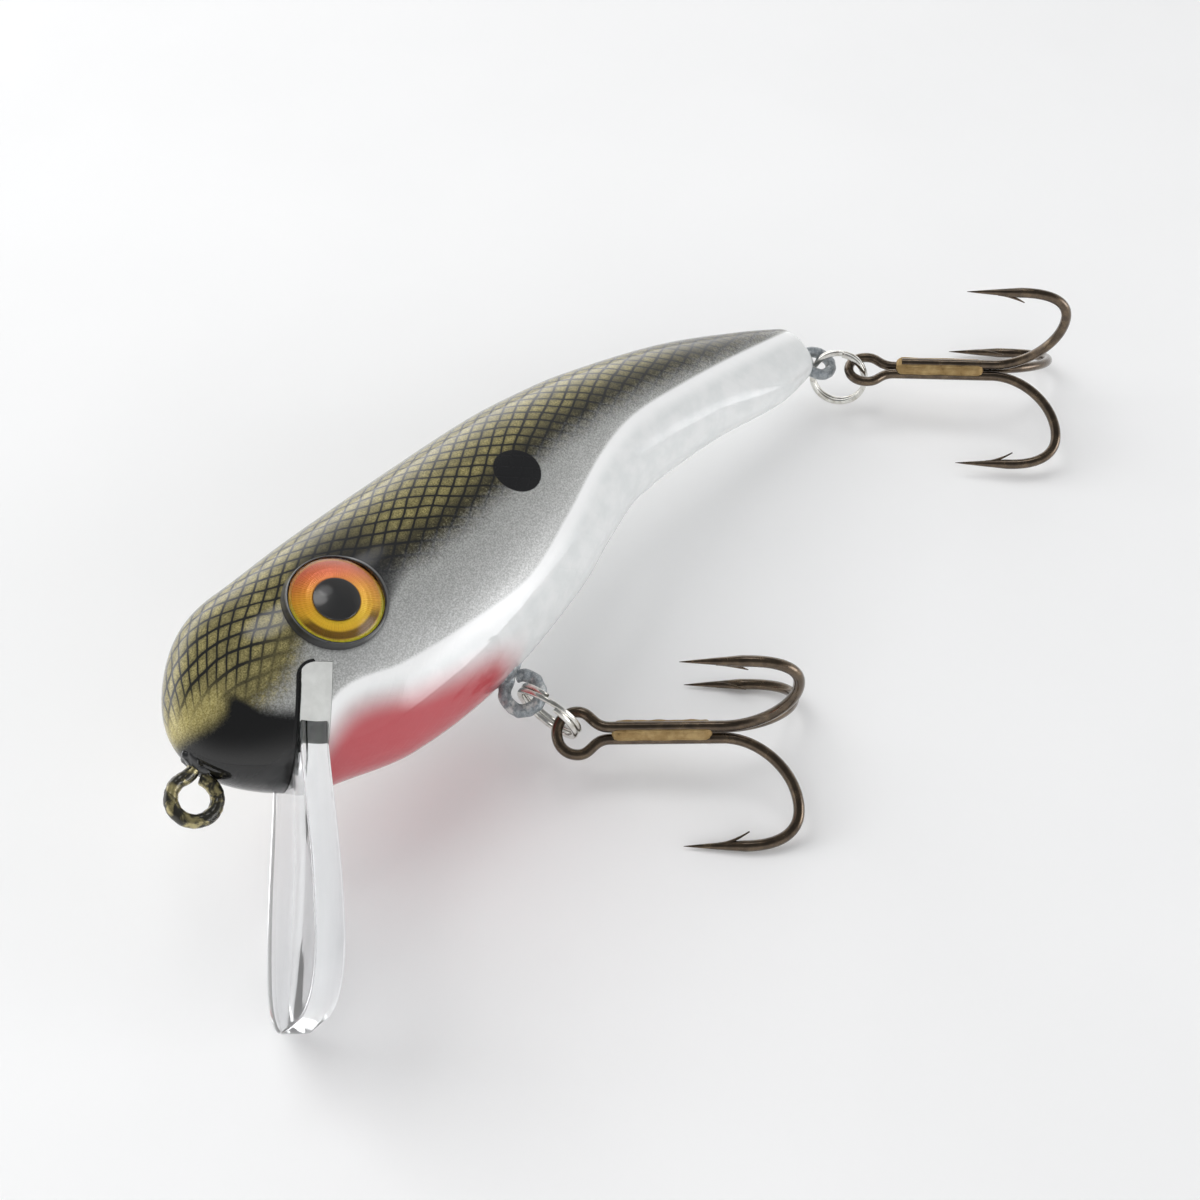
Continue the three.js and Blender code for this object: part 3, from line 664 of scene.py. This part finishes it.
# Section of the bead: how far outside the eye, share of the climb from flank to rim, and lift.
BEAD_SECTION = [
    (0.07, 0.0, -0.9), (0.07, 0.5, -0.1), (0.08, 0.9, 0.0), (0.17, 1.0, 0.06), (0.30, 0.94, 0.06),
    (0.42, 0.75, 0.06), (0.52, 0.45, 0.06), (0.64, 0.15, 0.06), (0.80, 0.0, 0.03), (0.80, 0.0, -0.2),
    (0.40, 0.0, -0.4), (0.22, 0.0, -0.9)]
BEAD_SPINS = 120
BEAD_LEAST_CLIMB = 0.25
PUPIL_RADIUS = 3.7
PUPIL_UNDER = 0.59
PUPIL_TOP = 0.82
DOME_HEIGHT = 2.7
DOME_STEPS = 28
POLE = 0.02


def eye_local(near, side):
    """Object coordinates turned into the eye's own two axes along its disc, in eye radii."""
    axes, rim = eye_axes(side)
    place = node(near, "ShaderNodeTexCoord").outputs["Object"]
    shifted = node(near, "ShaderNodeVectorMath", {0: place, 1: tuple(-from_fish(rim))},
                   operation="ADD").outputs[0]
    for axis in (axes @ fish_axes)[:2]:
        yield node(near, "ShaderNodeVectorMath", {0: shifted, 1: tuple(axis / (EYE_RADIUS * MM))},
                   operation="DOT_PRODUCT").outputs["Value"]


def iris_foil(side):
    """Gold below to orange above, a dark low crescent painted as the dome's reflection of the iris ring, a
    bright rim, a dark line round the pupil and fine rays from the middle."""
    made, shader = material(f"iris_foil_{side}", Metallic=0.3, Roughness=0.25)
    along, height = eye_local(shader, side)
    height = times(height, float(side))
    radius = calc("SQRT", plus(times(along, along), times(height, height)))
    angle = calc("ARCTAN2", height, along)
    rays = times(plus(calc("SINE", times(angle, 90.0)), calc("SINE", times(angle, 143.0))), 0.25)
    upwards = plus(times(height, 0.93), times(along, 0.38))
    colour = blend(ramp(upwards, -0.55, 0.15), (1.0, 0.74, 0.05), (1.0, 0.52, 0.05))
    colour = blend(ramp(upwards, 0.0, 0.75), colour, (1.0, 0.22, 0.11))
    # Painted reflection: a dark crescent low inside the rim, where the dome reflects the dark iris ring.
    painted_reflection_crescent = times(ramp(upwards, -0.15, -0.5), ramp(radius, 0.66, 0.74), ramp(radius, 0.90, 0.86), 0.85)
    colour = blend(painted_reflection_crescent, colour, (0.10, 0.045, 0.01))
    rim_colour = blend(ramp(upwards, -0.4, 0.6), (0.86, 0.84, 0.05), (1.0, 0.42, 0.10))
    colour = blend(ramp(radius, 0.885, 0.91), colour, rim_colour)
    colour = blend(ramp(radius, 0.47, 0.455), colour, (0.01, 0.01, 0.01))
    colour = blend(times(ramp(radius, 0.50, 0.47), 0.55), colour, (0.25, 0.06, 0.01))
    feed(shader, Base_Color=blend(ramp(rays, 0.1, 0.5), colour, blend(0.18, colour, (0.35, 0.12, 0.02))))
    bump(shader, plus(rays, times(calc("SINE", times(radius, 60.0)), 0.2)), 0.00008, 0.6)
    return made


def gloss_black(name):
    made, shader = material(name, Roughness=0.3, Coat_Weight=1.0, Coat_Roughness=0.04)
    feed(shader, Base_Color=blend(noise(shader, 700.0), (0.006, 0.006, 0.007), (0.016, 0.016, 0.017)))
    bump(shader, noise(shader, 300.0), 0.00015, 0.4)
    return made


resin, dome_shader = material("clear_eye_resin", Roughness=0.02, IOR=1.33, Transmission_Weight=1.0)
feed(dome_shader, Base_Color=blend(noise(dome_shader, 90.0), (1.0, 0.995, 0.985), (0.985, 0.98, 0.965)))
bump(dome_shader, noise(dome_shader, 160.0, 1.0), 0.00005, 0.3)
bead_black = gloss_black("black_paint_bead")
pupil_black = gloss_black("printed_pupil")

# Profiles, as radius and height over the socket's floor. The foil rises to a rolled rim, and the
# dome is a cap of the ball that passes through its rim and its top.
roll = np.linspace(0, 1, 8)
foil_profile = [(POLE, 0.08), (FOIL_RADIUS - 0.05, 0.08),
                *zip(FOIL_RADIUS * np.linspace(1, 0.9, 8), FOIL_TOP + 0.30 * np.sin(roll * np.pi) ** 0.8),
                (POLE, FOIL_TOP)]
pupil_profile = [(POLE, PUPIL_UNDER), (PUPIL_RADIUS, PUPIL_UNDER), (PUPIL_RADIUS, PUPIL_TOP - 0.08),
                 (PUPIL_RADIUS - 0.15, PUPIL_TOP), (POLE, PUPIL_TOP)]
ball = (EYE_RADIUS**2 + DOME_HEIGHT**2) / (2 * DOME_HEIGHT)
lean = math.asin(EYE_RADIUS / ball) * (1 - np.linspace(0, 1, DOME_STEPS))
crown_radii = np.append(ball * np.sin(lean[:-1]), POLE)
crown_heights = SOCKET_DEPTH + DOME_HEIGHT - ball * (1 - np.cos(lean))
dome_profile = [(POLE, RESIN_UNDER), (EYE_RADIUS - 0.06, RESIN_UNDER), *zip(crown_radii, crown_heights)]


def paint_bead(name, side):
    """A closed ring whose section climbs from the flank to the eye's rim all the way round it."""
    spin = full_turn(BEAD_SPINS)
    rim_z = EYE_CENTRE[2] - EYE_RADIUS * np.sin(spin) * math.sin(EYE_TILT)
    rings = []
    for out, climb, lift in BEAD_SECTION:
        x = EYE_CENTRE[0] + (EYE_RADIUS + out) * np.cos(spin)
        y = EYE_CENTRE[1] + (EYE_RADIUS + out) * np.sin(spin)
        middle, high, wide = body_section(x)
        skin = wide * (1 - np.abs((y - middle) / high) ** BODY_SQUARENESS) ** (1 / BODY_SQUARENESS)
        z = skin + climb * np.maximum(rim_z - skin, BEAD_LEAST_CLIMB) + lift
        rings.append(np.stack([x, y, side * z], -1))
    corners = np.arange(len(rings) * BEAD_SPINS).reshape(-1, BEAD_SPINS)
    onward = np.roll(corners, -1, axis=0)
    quads = np.stack([corners, np.roll(corners, -1, 1), np.roll(onward, -1, 1), onward], -1).reshape(-1, 4)
    quads = quads[:, ::-1] if side > 0 else quads
    return mesh_object(name, from_fish(np.concatenate(rings)), quads.tolist(), bead_black)


for word, side in (("left", 1), ("right", -1)):
    axes, rim = eye_axes(side)
    floor = rim - axes[2] * SOCKET_DEPTH
    foil = turned_solid(f"{word}_iris_foil", foil_profile, axes, floor, iris_foil(side))
    pupil = turned_solid(f"{word}_pupil", pupil_profile, axes, floor, pupil_black)
    dome = turned_solid(f"{word}_eye_lens", dome_profile, axes, floor, resin)
    bead = paint_bead(f"{word}_eye_paint_bead", side)
    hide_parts(f"{word}_eye_foil")
    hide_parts(f"{word}_eye_pupil")
    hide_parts(f"{word}_eye_dome")
    for piece, slot in ((foil, "foil"), (pupil, "black"), (dome, "lens"), (bead, "black")):
        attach(piece, "lure_body")


# ---- The screw eyes ------------------------------------------------------------------------
# Stainless wire bent to a ring that closes against its own shank, screwed into the nose, belly and
# tail. The nose ring is oversprayed with the body's paint, the others carry epoxy.
# Each ring's middle, x and y in the fish's axes, and the heading of its shank in degrees.
NOSE_SEAT = (-2.1, -12.8, 55)
BELLY_SEAT = (58.0, -26.6, 90)
TAIL_SEAT = (161.6, -0.4, 168)
SCREW_SPACING = 0.28
SCREW_SIDES = 22


def swept(path, radii, sides=20, start_side=None, flatten=None):
    """Rings round a path of points: each ring is square to the path, its radius given per point.
    The side vector is carried along the path with the least turning. flatten = (a, b, squareness)
    gives each ring a superellipse section instead of a circle."""
    tangent = np.gradient(path, axis=0)
    tangent /= np.linalg.norm(tangent, axis=1)[:, None]
    side = np.empty_like(path)
    side[0] = start_side if start_side is not None else np.cross(tangent[0], [0.3, 0.5, 0.81])
    side[0] -= tangent[0] * (side[0] @ tangent[0])
    side[0] /= np.linalg.norm(side[0])
    for k in range(1, len(path)):
        carried = side[k - 1] - tangent[k] * (side[k - 1] @ tangent[k])
        side[k] = carried / np.linalg.norm(carried)
    other = np.cross(tangent, side)
    cosine = np.cos(full_turn(sides))
    sine = np.sin(full_turn(sides))
    if flatten:
        a, b, square = flatten
        cosine = a * signed_power(cosine, 2 / square)
        sine = b * signed_power(sine, 2 / square)
    radii = np.broadcast_to(radii, (len(path),))
    return path[:, None] + radii[:, None, None] * (cosine[None, :, None] * side[:, None]
                                                   + sine[None, :, None] * other[:, None])


def lumps(points, size, height, seed):
    """A smooth random offset at each point: a sum of a few sine waves of wavelength about size."""
    waves = np.random.default_rng(seed).normal(size=(7, 3)) * (2 * np.pi / size) * 0.6
    phase = np.random.default_rng(seed + 1).uniform(0, 2 * np.pi, 7)
    return height * np.sin(points @ waves.T + phase).sum(-1) / math.sqrt(7)


def evenly(path, spacing):
    """The same path with points at even spacing."""
    path = path[np.append(True, np.diff(travelled(path)) > 1e-9)]
    length = travelled(path)
    at = np.linspace(0, length[-1], max(4, int(length[-1] / spacing)))
    return np.stack([np.interp(at, length, path[:, k]) for k in range(3)], -1)


def screw_eye_path(ring, shank):
    """Shank along +X, a short swan neck, then round the ring and back to touch the shank."""
    straight = np.linspace([ring + shank, 0, 0], [ring + 2.4, 0, 0], 30)
    around = np.linspace(math.radians(25), math.radians(348), 90)
    loop = np.stack([ring * np.cos(around), ring * np.sin(around), np.linspace(0.15, -0.25, 90)], -1)
    bend = bezier(straight[-1], straight[-1] - [1.0, 0, 0], loop[0] + [0.55, -0.9, 0], loop[0], 10)
    return evenly(np.concatenate([straight[:-1], bend, loop]), SCREW_SPACING)


def screw_eye(name, seat, ring, wire, shank, turned, coat, lumpiness, seed):
    """A wire eye at its seat, turned about its shank, its surface lumpy with paint or epoxy."""
    x, y, heading = seat
    c, s = math.cos(math.radians(heading)), math.sin(math.radians(heading))
    ct, st = math.cos(math.radians(turned)), math.sin(math.radians(turned))
    axes = np.array([[1, 0, 0], [0, ct, st], [0, -st, ct]]) @ np.array([[c, s, 0], [-s, c, 0], [0, 0, 1]])
    path = screw_eye_path(ring, shank)
    radii = np.full(len(path), float(wire))
    radii[-2:] = wire * 0.97, wire * 0.82
    rings = swept(path, radii, SCREW_SIDES, start_side=np.array([0, 0, 1.0]))
    outward = (rings - path[:, None]) / np.linalg.norm(rings - path[:, None], axis=-1)[..., None]
    rings = rings + outward * lumps(rings, 2.2, lumpiness, seed)[..., None]
    made = tube(name, rings, coat, lambda points: from_fish(points @ axes + [x, y, 0]))
    made.data.set_sharp_from_angle(angle=math.radians(60))
    return made


overspray, gilt_wire = material("gilt_and_black_overspray", Metallic=0.8, Coat_Weight=0.9,
                                Coat_Roughness=0.06)
patchy = ramp(noise(gilt_wire, 420.0, 3.0, 0.6, 0.8), 0.38, 0.56)
gilt_film = blend(noise(gilt_wire, 2600.0), (0.30, 0.25, 0.10), (0.55, 0.48, 0.24))
feed(gilt_wire, Base_Color=blend(patchy, gilt_film, (0.035, 0.032, 0.022)),
     Roughness=spread(patchy, 0.30, 0.45))
bump(gilt_wire, noise(gilt_wire, 900.0), 0.0002, 0.5)

epoxy_coat, steel = material("steel_under_grey_epoxy", Metallic=0.55, Coat_Weight=0.5, Coat_Roughness=0.15)
pitted = noise(steel, 1500.0, 4.0, 0.7)
grey = blend(ramp(pitted, 0.3, 0.7), (0.20, 0.225, 0.24), (0.40, 0.43, 0.45))
bare = ramp(noise(steel, 480.0, 3.0, 0.6), 0.52, 0.66)
feed(steel, Base_Color=blend(bare, grey, (0.60, 0.61, 0.60)), Roughness=spread(pitted, 0.28, 0.6))
bump(steel, pitted, 0.00035, 0.7)

line_tie = screw_eye("nose_line_tie", NOSE_SEAT, 3.75, 1.2, 24, 0, overspray, 0.05, 3)
belly_eye = screw_eye("belly_hanger", BELLY_SEAT, 3.2, 1.2, 22, -22, epoxy_coat, 0.10, 8)
tail_eye = screw_eye("tail_hanger", TAIL_SEAT, 3.2, 1.15, 24, 11, epoxy_coat, 0.05, 12)
for piece, cad, slot in ((line_tie, "line_tie", "painted_wire"),
                         (belly_eye, "belly_screw_eye", "screw_steel"),
                         (tail_eye, "tail_screw_eye", "screw_steel")):
    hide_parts(cad)
    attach(piece, "lure_body")


# ---- The sealant collars -------------------------------------------------------------------
# A low uneven ring of sealant where each shank enters the body, black at the nose and clear grey at
# the belly and tail.
COLLAR_SPINS = 72
COLLAR_CLIP = 1.3
COLLAR_MISS = 0.8


def collar(name, seat, radius, height, finish, seed):
    """A shallow mound round the shank: rings of points slid along the shank on to the skin, then
    raised by a profile that falls to nothing at a ragged rim."""
    x, y, heading = seat
    direction = np.array([math.cos(math.radians(heading)), math.sin(math.radians(heading)), 0.0])
    across = np.cross(direction, [0, 0, 1.0])
    spin = full_turn(COLLAR_SPINS)
    ragged = 1 + sum(size * np.sin(waves * spin + shift * seed)
                     for size, waves, shift in ((0.16, 3, 1), (0.08, 7, 2), (0.04, 13, 0)))
    share = np.array([0.02, 0.9, 1.0, 0.93, 0.8, 0.6, 0.35, 0.02])
    rise = np.array([-1.6, -1.4, -0.4, height * 0.12, height * 0.42, height * 0.75, height * 0.96, height])
    flat = share[:, None] * radius * ragged
    foot = (np.array([x, y, 0.0]) + (flat * np.cos(spin))[..., None] * across
            + (flat * np.sin(spin))[..., None] * np.array([0, 0, 1.0]))
    reach = np.linspace(-4, 16, 401)
    line = foot[..., None, :] + direction * reach[:, None]
    middle, high, wide = body_section(np.clip(line[..., 0], NOSE_TIP, BODY_LENGTH - 0.01))
    inside = (np.abs((line[..., 1] - middle) / high) ** BODY_SQUARENESS
              + np.abs(line[..., 2] / wide) ** BODY_SQUARENESS < 1)
    inside &= (line[..., 0] > 0) & (line[..., 0] < BODY_LENGTH)
    entry = reach[np.argmax(inside, axis=-1)]
    centre = entry[0, 0]
    entry = np.clip(entry, centre - COLLAR_CLIP, centre + COLLAR_CLIP)
    entry = np.where(inside.any(axis=-1), entry, centre + COLLAR_MISS)
    return tube(name, foot + direction * (entry - rise[:, None])[..., None], finish)


nose_collar = collar("line_tie_black_sealant", NOSE_SEAT, 2.5, 0.9, gloss_black("black_sealant"), 1.0)
belly_collar = collar("belly_hanger_sealant", BELLY_SEAT, 3.0, 0.8, epoxy_coat, 2.1)
tail_collar = collar("tail_hanger_sealant", TAIL_SEAT, 2.0, 0.5, epoxy_coat, 4.0)
for piece, slot in ((nose_collar, "black"), (belly_collar, "screw_steel"), (tail_collar, "screw_steel")):
    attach(piece, "lure_body")


# ---- The split rings -----------------------------------------------------------------------
# Spring wire rolled flat and wound nearly two turns, the turns all but touching, with a step halfway
# and two cut ends, plated with bright nickel.
RING_RADIAL = 1.1
RING_TURN = 0.95
RING_GAP = 0.08
RING_TURNS = 1.94
RING_START = math.radians(107.2)
RING_STEP = 0.16
RING_POINTS = 260


def unit(v):
    return np.array(v, float) / np.linalg.norm(v)


def aimed(x, z):
    """Axes with X along x and Z leaning to z."""
    ex = unit(x)
    ey = unit(np.cross(z, ex))
    return np.stack([ex, ey, np.cross(ex, ey)])


def split_ring(word, radius, facing, side):
    """A flat helix whose centre line passes through both joints' points."""
    start = joint_place(f"{word}_ring_swing") / MM
    reach = joint_place(f"{word}_hook_swing") / MM - start
    axes = aimed(reach, facing)
    half = np.linalg.norm(reach) / 2
    centre = start + np.array([half, side * math.sqrt(radius**2 - half**2), 0]) @ axes
    t = np.linspace(0, 1, RING_POINTS)
    angle = t * RING_TURNS * 2 * np.pi + RING_START
    s = np.clip((t * RING_TURNS - (RING_TURNS / 2 - RING_STEP)) / (2 * RING_STEP), 0, 1)
    height = (s * s * (3 - 2 * s) - 0.5) * (RING_TURN + RING_GAP)
    path = np.stack([radius * np.cos(angle), radius * np.sin(angle), height], -1)
    radii = np.ones(RING_POINTS)
    radii[[0, -1]] = 0.9
    section = (RING_TURN / 2, RING_RADIAL / 2, 3.2)
    rings = swept(path, radii, start_side=np.array([0, 0, 1.0]), flatten=section)
    made = tube(f"{word}_nickel_ring", rings, nickel, lambda points: (points @ axes + centre) * MM)
    made.data.set_sharp_from_angle(angle=math.radians(55))
    return made


BELLY_RING = dict(radius=6.1, facing=(-0.94, -0.2, -0.26), side=1)
TAIL_RING = dict(radius=5.55, facing=(-0.82, -0.5, 0.27), side=-1)
nickel, plate = material("bright_nickel_plate", Metallic=1.0)
tarnish = ramp(noise(plate, 700.0, 3.0, 0.6), 0.4, 0.8)
feed(plate, Base_Color=blend(tarnish, (0.78, 0.77, 0.73), (0.50, 0.47, 0.41)),
     Roughness=spread(noise(plate, 3000.0), 0.10, 0.26))
bump(plate, noise(plate, 1800.0), 0.00006, 0.4)
for word, ring in (("belly", BELLY_RING), ("tail", TAIL_RING)):
    made = split_ring(word, **ring)
    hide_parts(f"{word}_split_ring")
    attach(made, f"{word}_ring")


# ---- The treble hooks ----------------------------------------------------------------------
# A double hook bent from one high-carbon wire with its eye, a third hook laid in the groove and
# brazed on, points ground long and barbs cut and lifted, then bronze lacquered.
HOOK_WIRE = 1.0
TREBLE_LENGTH = 44.6
EYE_OUT = 3.9
EYE_HALF_WIDTH = 3.8
BUNDLE = 1.35
BRAZE_START = 10.6
BRAZE_END = 28.6
THIRD_SETBACK = 1.2
BEND_START = 30.5
POINT_RADIUS = 20.3
POINT_BACK = 21.3
POINT_TAPER = 10.5
BARB_TIP = 11.6
BARB_FOOT = 6.2
BARB_RISE = 2.5
HOOK_SPACING = 0.3
FILL_FLAT = 1.74
FILL_SPREAD = 39.0
FILL_UNDER = 1.9
FILL_RINGS = 90
FILL_SIDES = 72
# The direction of each of the three hooks round the shank, in degrees.
THIRD = 90
LEFT = 210
RIGHT = 330


def spoke(angle, x, radius):
    """A point at x along the shank and `radius` out from it, in the direction `angle`."""
    a = math.radians(angle)
    x, radius = np.broadcast_arrays(np.asarray(x, float), np.asarray(radius, float))
    return np.stack([x - EYE_OUT, radius * math.cos(a), BUNDLE / 2 + radius * math.sin(a)], -1)


def hook_path(angle, start):
    """Shank, swept round bend and straight point leg, in the plane through the shank at `angle`."""
    bottom, widest = TREBLE_LENGTH - HOOK_WIRE, 0.69 * POINT_RADIUS
    leg = TREBLE_LENGTH - POINT_BACK + POINT_TAPER + 0.2
    flat = np.concatenate([
        bezier((start, BUNDLE), (start + 6, BUNDLE), (BEND_START - 6, BUNDLE), (BEND_START, BUNDLE), 30),
        bezier((BEND_START, BUNDLE), (BEND_START + 6.5, BUNDLE),
               (bottom, widest - 6.5), (bottom, widest), 60),
        bezier((bottom, widest), (bottom, widest + 3.9),
               (bottom - 3.2, POINT_RADIUS), (leg, POINT_RADIUS), 50),
        np.stack([np.linspace(leg, TREBLE_LENGTH - POINT_BACK, 60), np.full(60, POINT_RADIUS)], -1)])
    return spoke(angle, flat[:, 0], flat[:, 1])


def tapered(path, both_ends):
    """Wire radius along a path, drawn down to a needle at its last end, or at both."""
    run = travelled(path)
    run = np.minimum(run, run[-1] - run) if both_ends else run[-1] - run
    return HOOK_WIRE * (0.05 + 0.95 * np.clip(run / POINT_TAPER, 0, 1) ** 0.9)


def barb_rings(angle):
    """A sliver cut from the inner side of the point and lifted: a curved tapering blade."""
    tip_x = TREBLE_LENGTH - POINT_BACK
    t = np.linspace(0, 1, 14)
    x = tip_x + BARB_FOOT + (BARB_TIP - BARB_FOOT) * t
    radius = POINT_RADIUS - 0.25 - (BARB_RISE - 0.25) * t**1.5
    path = spoke(angle, x, radius)
    sideways = unit(np.cross([1.0, 0, 0], spoke(angle, 0, 1) - spoke(angle, 0, 0)))
    widths = 0.60 * (1 - t**2.2) + 0.03
    depths = 0.42 * (1 - 0.75 * t) + 0.02
    centre = path[:, None]
    offset = swept(path, 1.0, 12, start_side=sideways) - centre
    width_part = (offset @ sideways)[..., None] * sideways
    return centre + width_part * widths[:, None, None] + (offset - width_part) * depths[:, None, None]


def joined_tubes(name, tubes, place, finish):
    """Several closed tubes in one mesh, placed by a function from millimetres to the row frame."""
    points, faces, first = [], [], 0
    for rings in tubes:
        points.append(rings.reshape(-1, 3))
        faces += tube_faces(rings.shape[0], rings.shape[1], first)
        first += rings.shape[0] * rings.shape[1]
    made = mesh_object(name, place(np.concatenate(points)), faces, finish)
    made.data.set_sharp_from_angle(angle=math.radians(60))
    return made


def double_hook_path(eye_twist):
    """Point, bend and shank of the left hook, round the eye, and down the right hook."""
    twist = math.radians(eye_twist)

    def eye(x, y):
        return np.array([x, y * math.cos(twist), y * math.sin(twist)])

    neck_left, neck_right = spoke(LEFT, BRAZE_START, BUNDLE), spoke(RIGHT, BRAZE_START, BUNDLE)
    wide, end, round_off = EYE_HALF_WIDTH, HOOK_WIRE - EYE_OUT, 0.5523 * EYE_HALF_WIDTH
    loop = np.concatenate([
        bezier(neck_left, [neck_left[0] - 3.4, neck_left[1], 0], eye(3.4, -wide), eye(0.8, -wide), 36),
        bezier(eye(0.8, -wide), eye(-1.4, -wide), eye(end, -round_off), eye(end, 0), 30),
        bezier(eye(end, 0), eye(end, round_off), eye(-1.4, wide), eye(0.8, wide), 30),
        bezier(eye(0.8, wide), eye(3.4, wide), [neck_right[0] - 3.4, neck_right[1], 0], neck_right, 36)])
    left, right = hook_path(LEFT, BRAZE_START), hook_path(RIGHT, BRAZE_START)
    return evenly(np.concatenate([left[::-1], loop, right]), HOOK_SPACING)


bronze, lacquer = material("bronze_lacquered_steel", Metallic=1.0, Coat_Weight=0.7, Coat_Roughness=0.08)
rubbed = noise(lacquer, 500.0, 4.0, 0.6)
dark_bronze = blend(ramp(rubbed, 0.35, 0.7), (0.078, 0.054, 0.034), (0.155, 0.110, 0.068))
bright_specks = ramp(noise(lacquer, 1700.0, 2.0), 0.68, 0.78)
feed(lacquer, Base_Color=blend(bright_specks, dark_bronze, (0.22, 0.155, 0.09)),
     Roughness=spread(rubbed, 0.16, 0.34))
bump(lacquer, noise(lacquer, 2300.0, 3.0), 0.00006, 0.5)

brass, braze = material("matt_brazing_brass", Metallic=0.7)
scorched = noise(braze, 420.0, 4.0, 0.65)
tan = blend(ramp(scorched, 0.3, 0.6), (0.50, 0.36, 0.17), (0.36, 0.24, 0.10))
feed(braze, Base_Color=blend(ramp(scorched, 0.60, 0.78), tan, (0.14, 0.085, 0.035)),
     Roughness=spread(noise(braze, 1500.0), 0.42, 0.7))
bump(braze, noise(braze, 1100.0, 4.0), 0.0003, 0.6)

BELLY_TREBLE = dict(shank=(0.706, -0.708, 0.042), third=(0.614, 0.614, -0.5), eye_twist=-22)
TAIL_TREBLE = dict(shank=(0.661, -0.749, 0.034), third=(0.03, 0.03, 1), eye_twist=0)


def treble(word, shank, third, eye_twist, seed):
    """The three pieces of a treble, hung from the joint where its eye meets the split ring."""
    axes = aimed(shank, third)
    origin = joint_place(f"{word}_hook_swing") / MM

    def place(points):
        return (points @ axes + origin) * MM

    path = double_hook_path(eye_twist)
    double_hook = joined_tubes(f"{word}_double_hook", [
        swept(path, tapered(path, True)), barb_rings(LEFT), barb_rings(RIGHT)], place, bronze)
    path = evenly(hook_path(THIRD, BRAZE_START + THIRD_SETBACK), HOOK_SPACING)
    third_hook = joined_tubes(f"{word}_third_hook", [
        swept(path, tapered(path, False)), barb_rings(THIRD)], place, bronze)

    # Brass drawn into the grooves by heat: nearly flush with the wires, its ends tongue-shaped.
    t = np.linspace(0, 1, FILL_RINGS)
    x = BRAZE_START + 0.2 + (BRAZE_END - BRAZE_START - 0.2) * t
    spin = full_turn(FILL_SIDES)
    core = spoke(0, x, 0.0)[:, None]
    groove = np.abs((np.degrees(spin) - THIRD + 180) % 120 - 60)
    shape = np.where(groove < FILL_SPREAD, FILL_FLAT / np.cos(np.radians(groove)), FILL_UNDER)
    ends = np.clip(np.minimum(t, 1 - t) / 0.06, 0, 1) ** 0.5
    ring = np.stack([0 * spin, np.cos(spin), np.sin(spin)], -1)[None]
    shell = core + ring * (shape[None] * (0.6 + 0.4 * ends[:, None]))[..., None]
    shell = shell + ring * lumps(shell, 3.0, 0.05, seed)[..., None]
    brazing = tube(f"{word}_brazing_fill", shell, brass, place)
    for made, cad, slot in ((double_hook, "double_hook", "bronze"), (third_hook, "third_hook", "bronze"),
                            (brazing, "brazing", "brazing")):
        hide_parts(f"{word}_treble_{cad}")
        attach(made, f"{word}_hook")


treble("belly", seed=21, **BELLY_TREBLE)
treble("tail", seed=34, **TAIL_TREBLE)
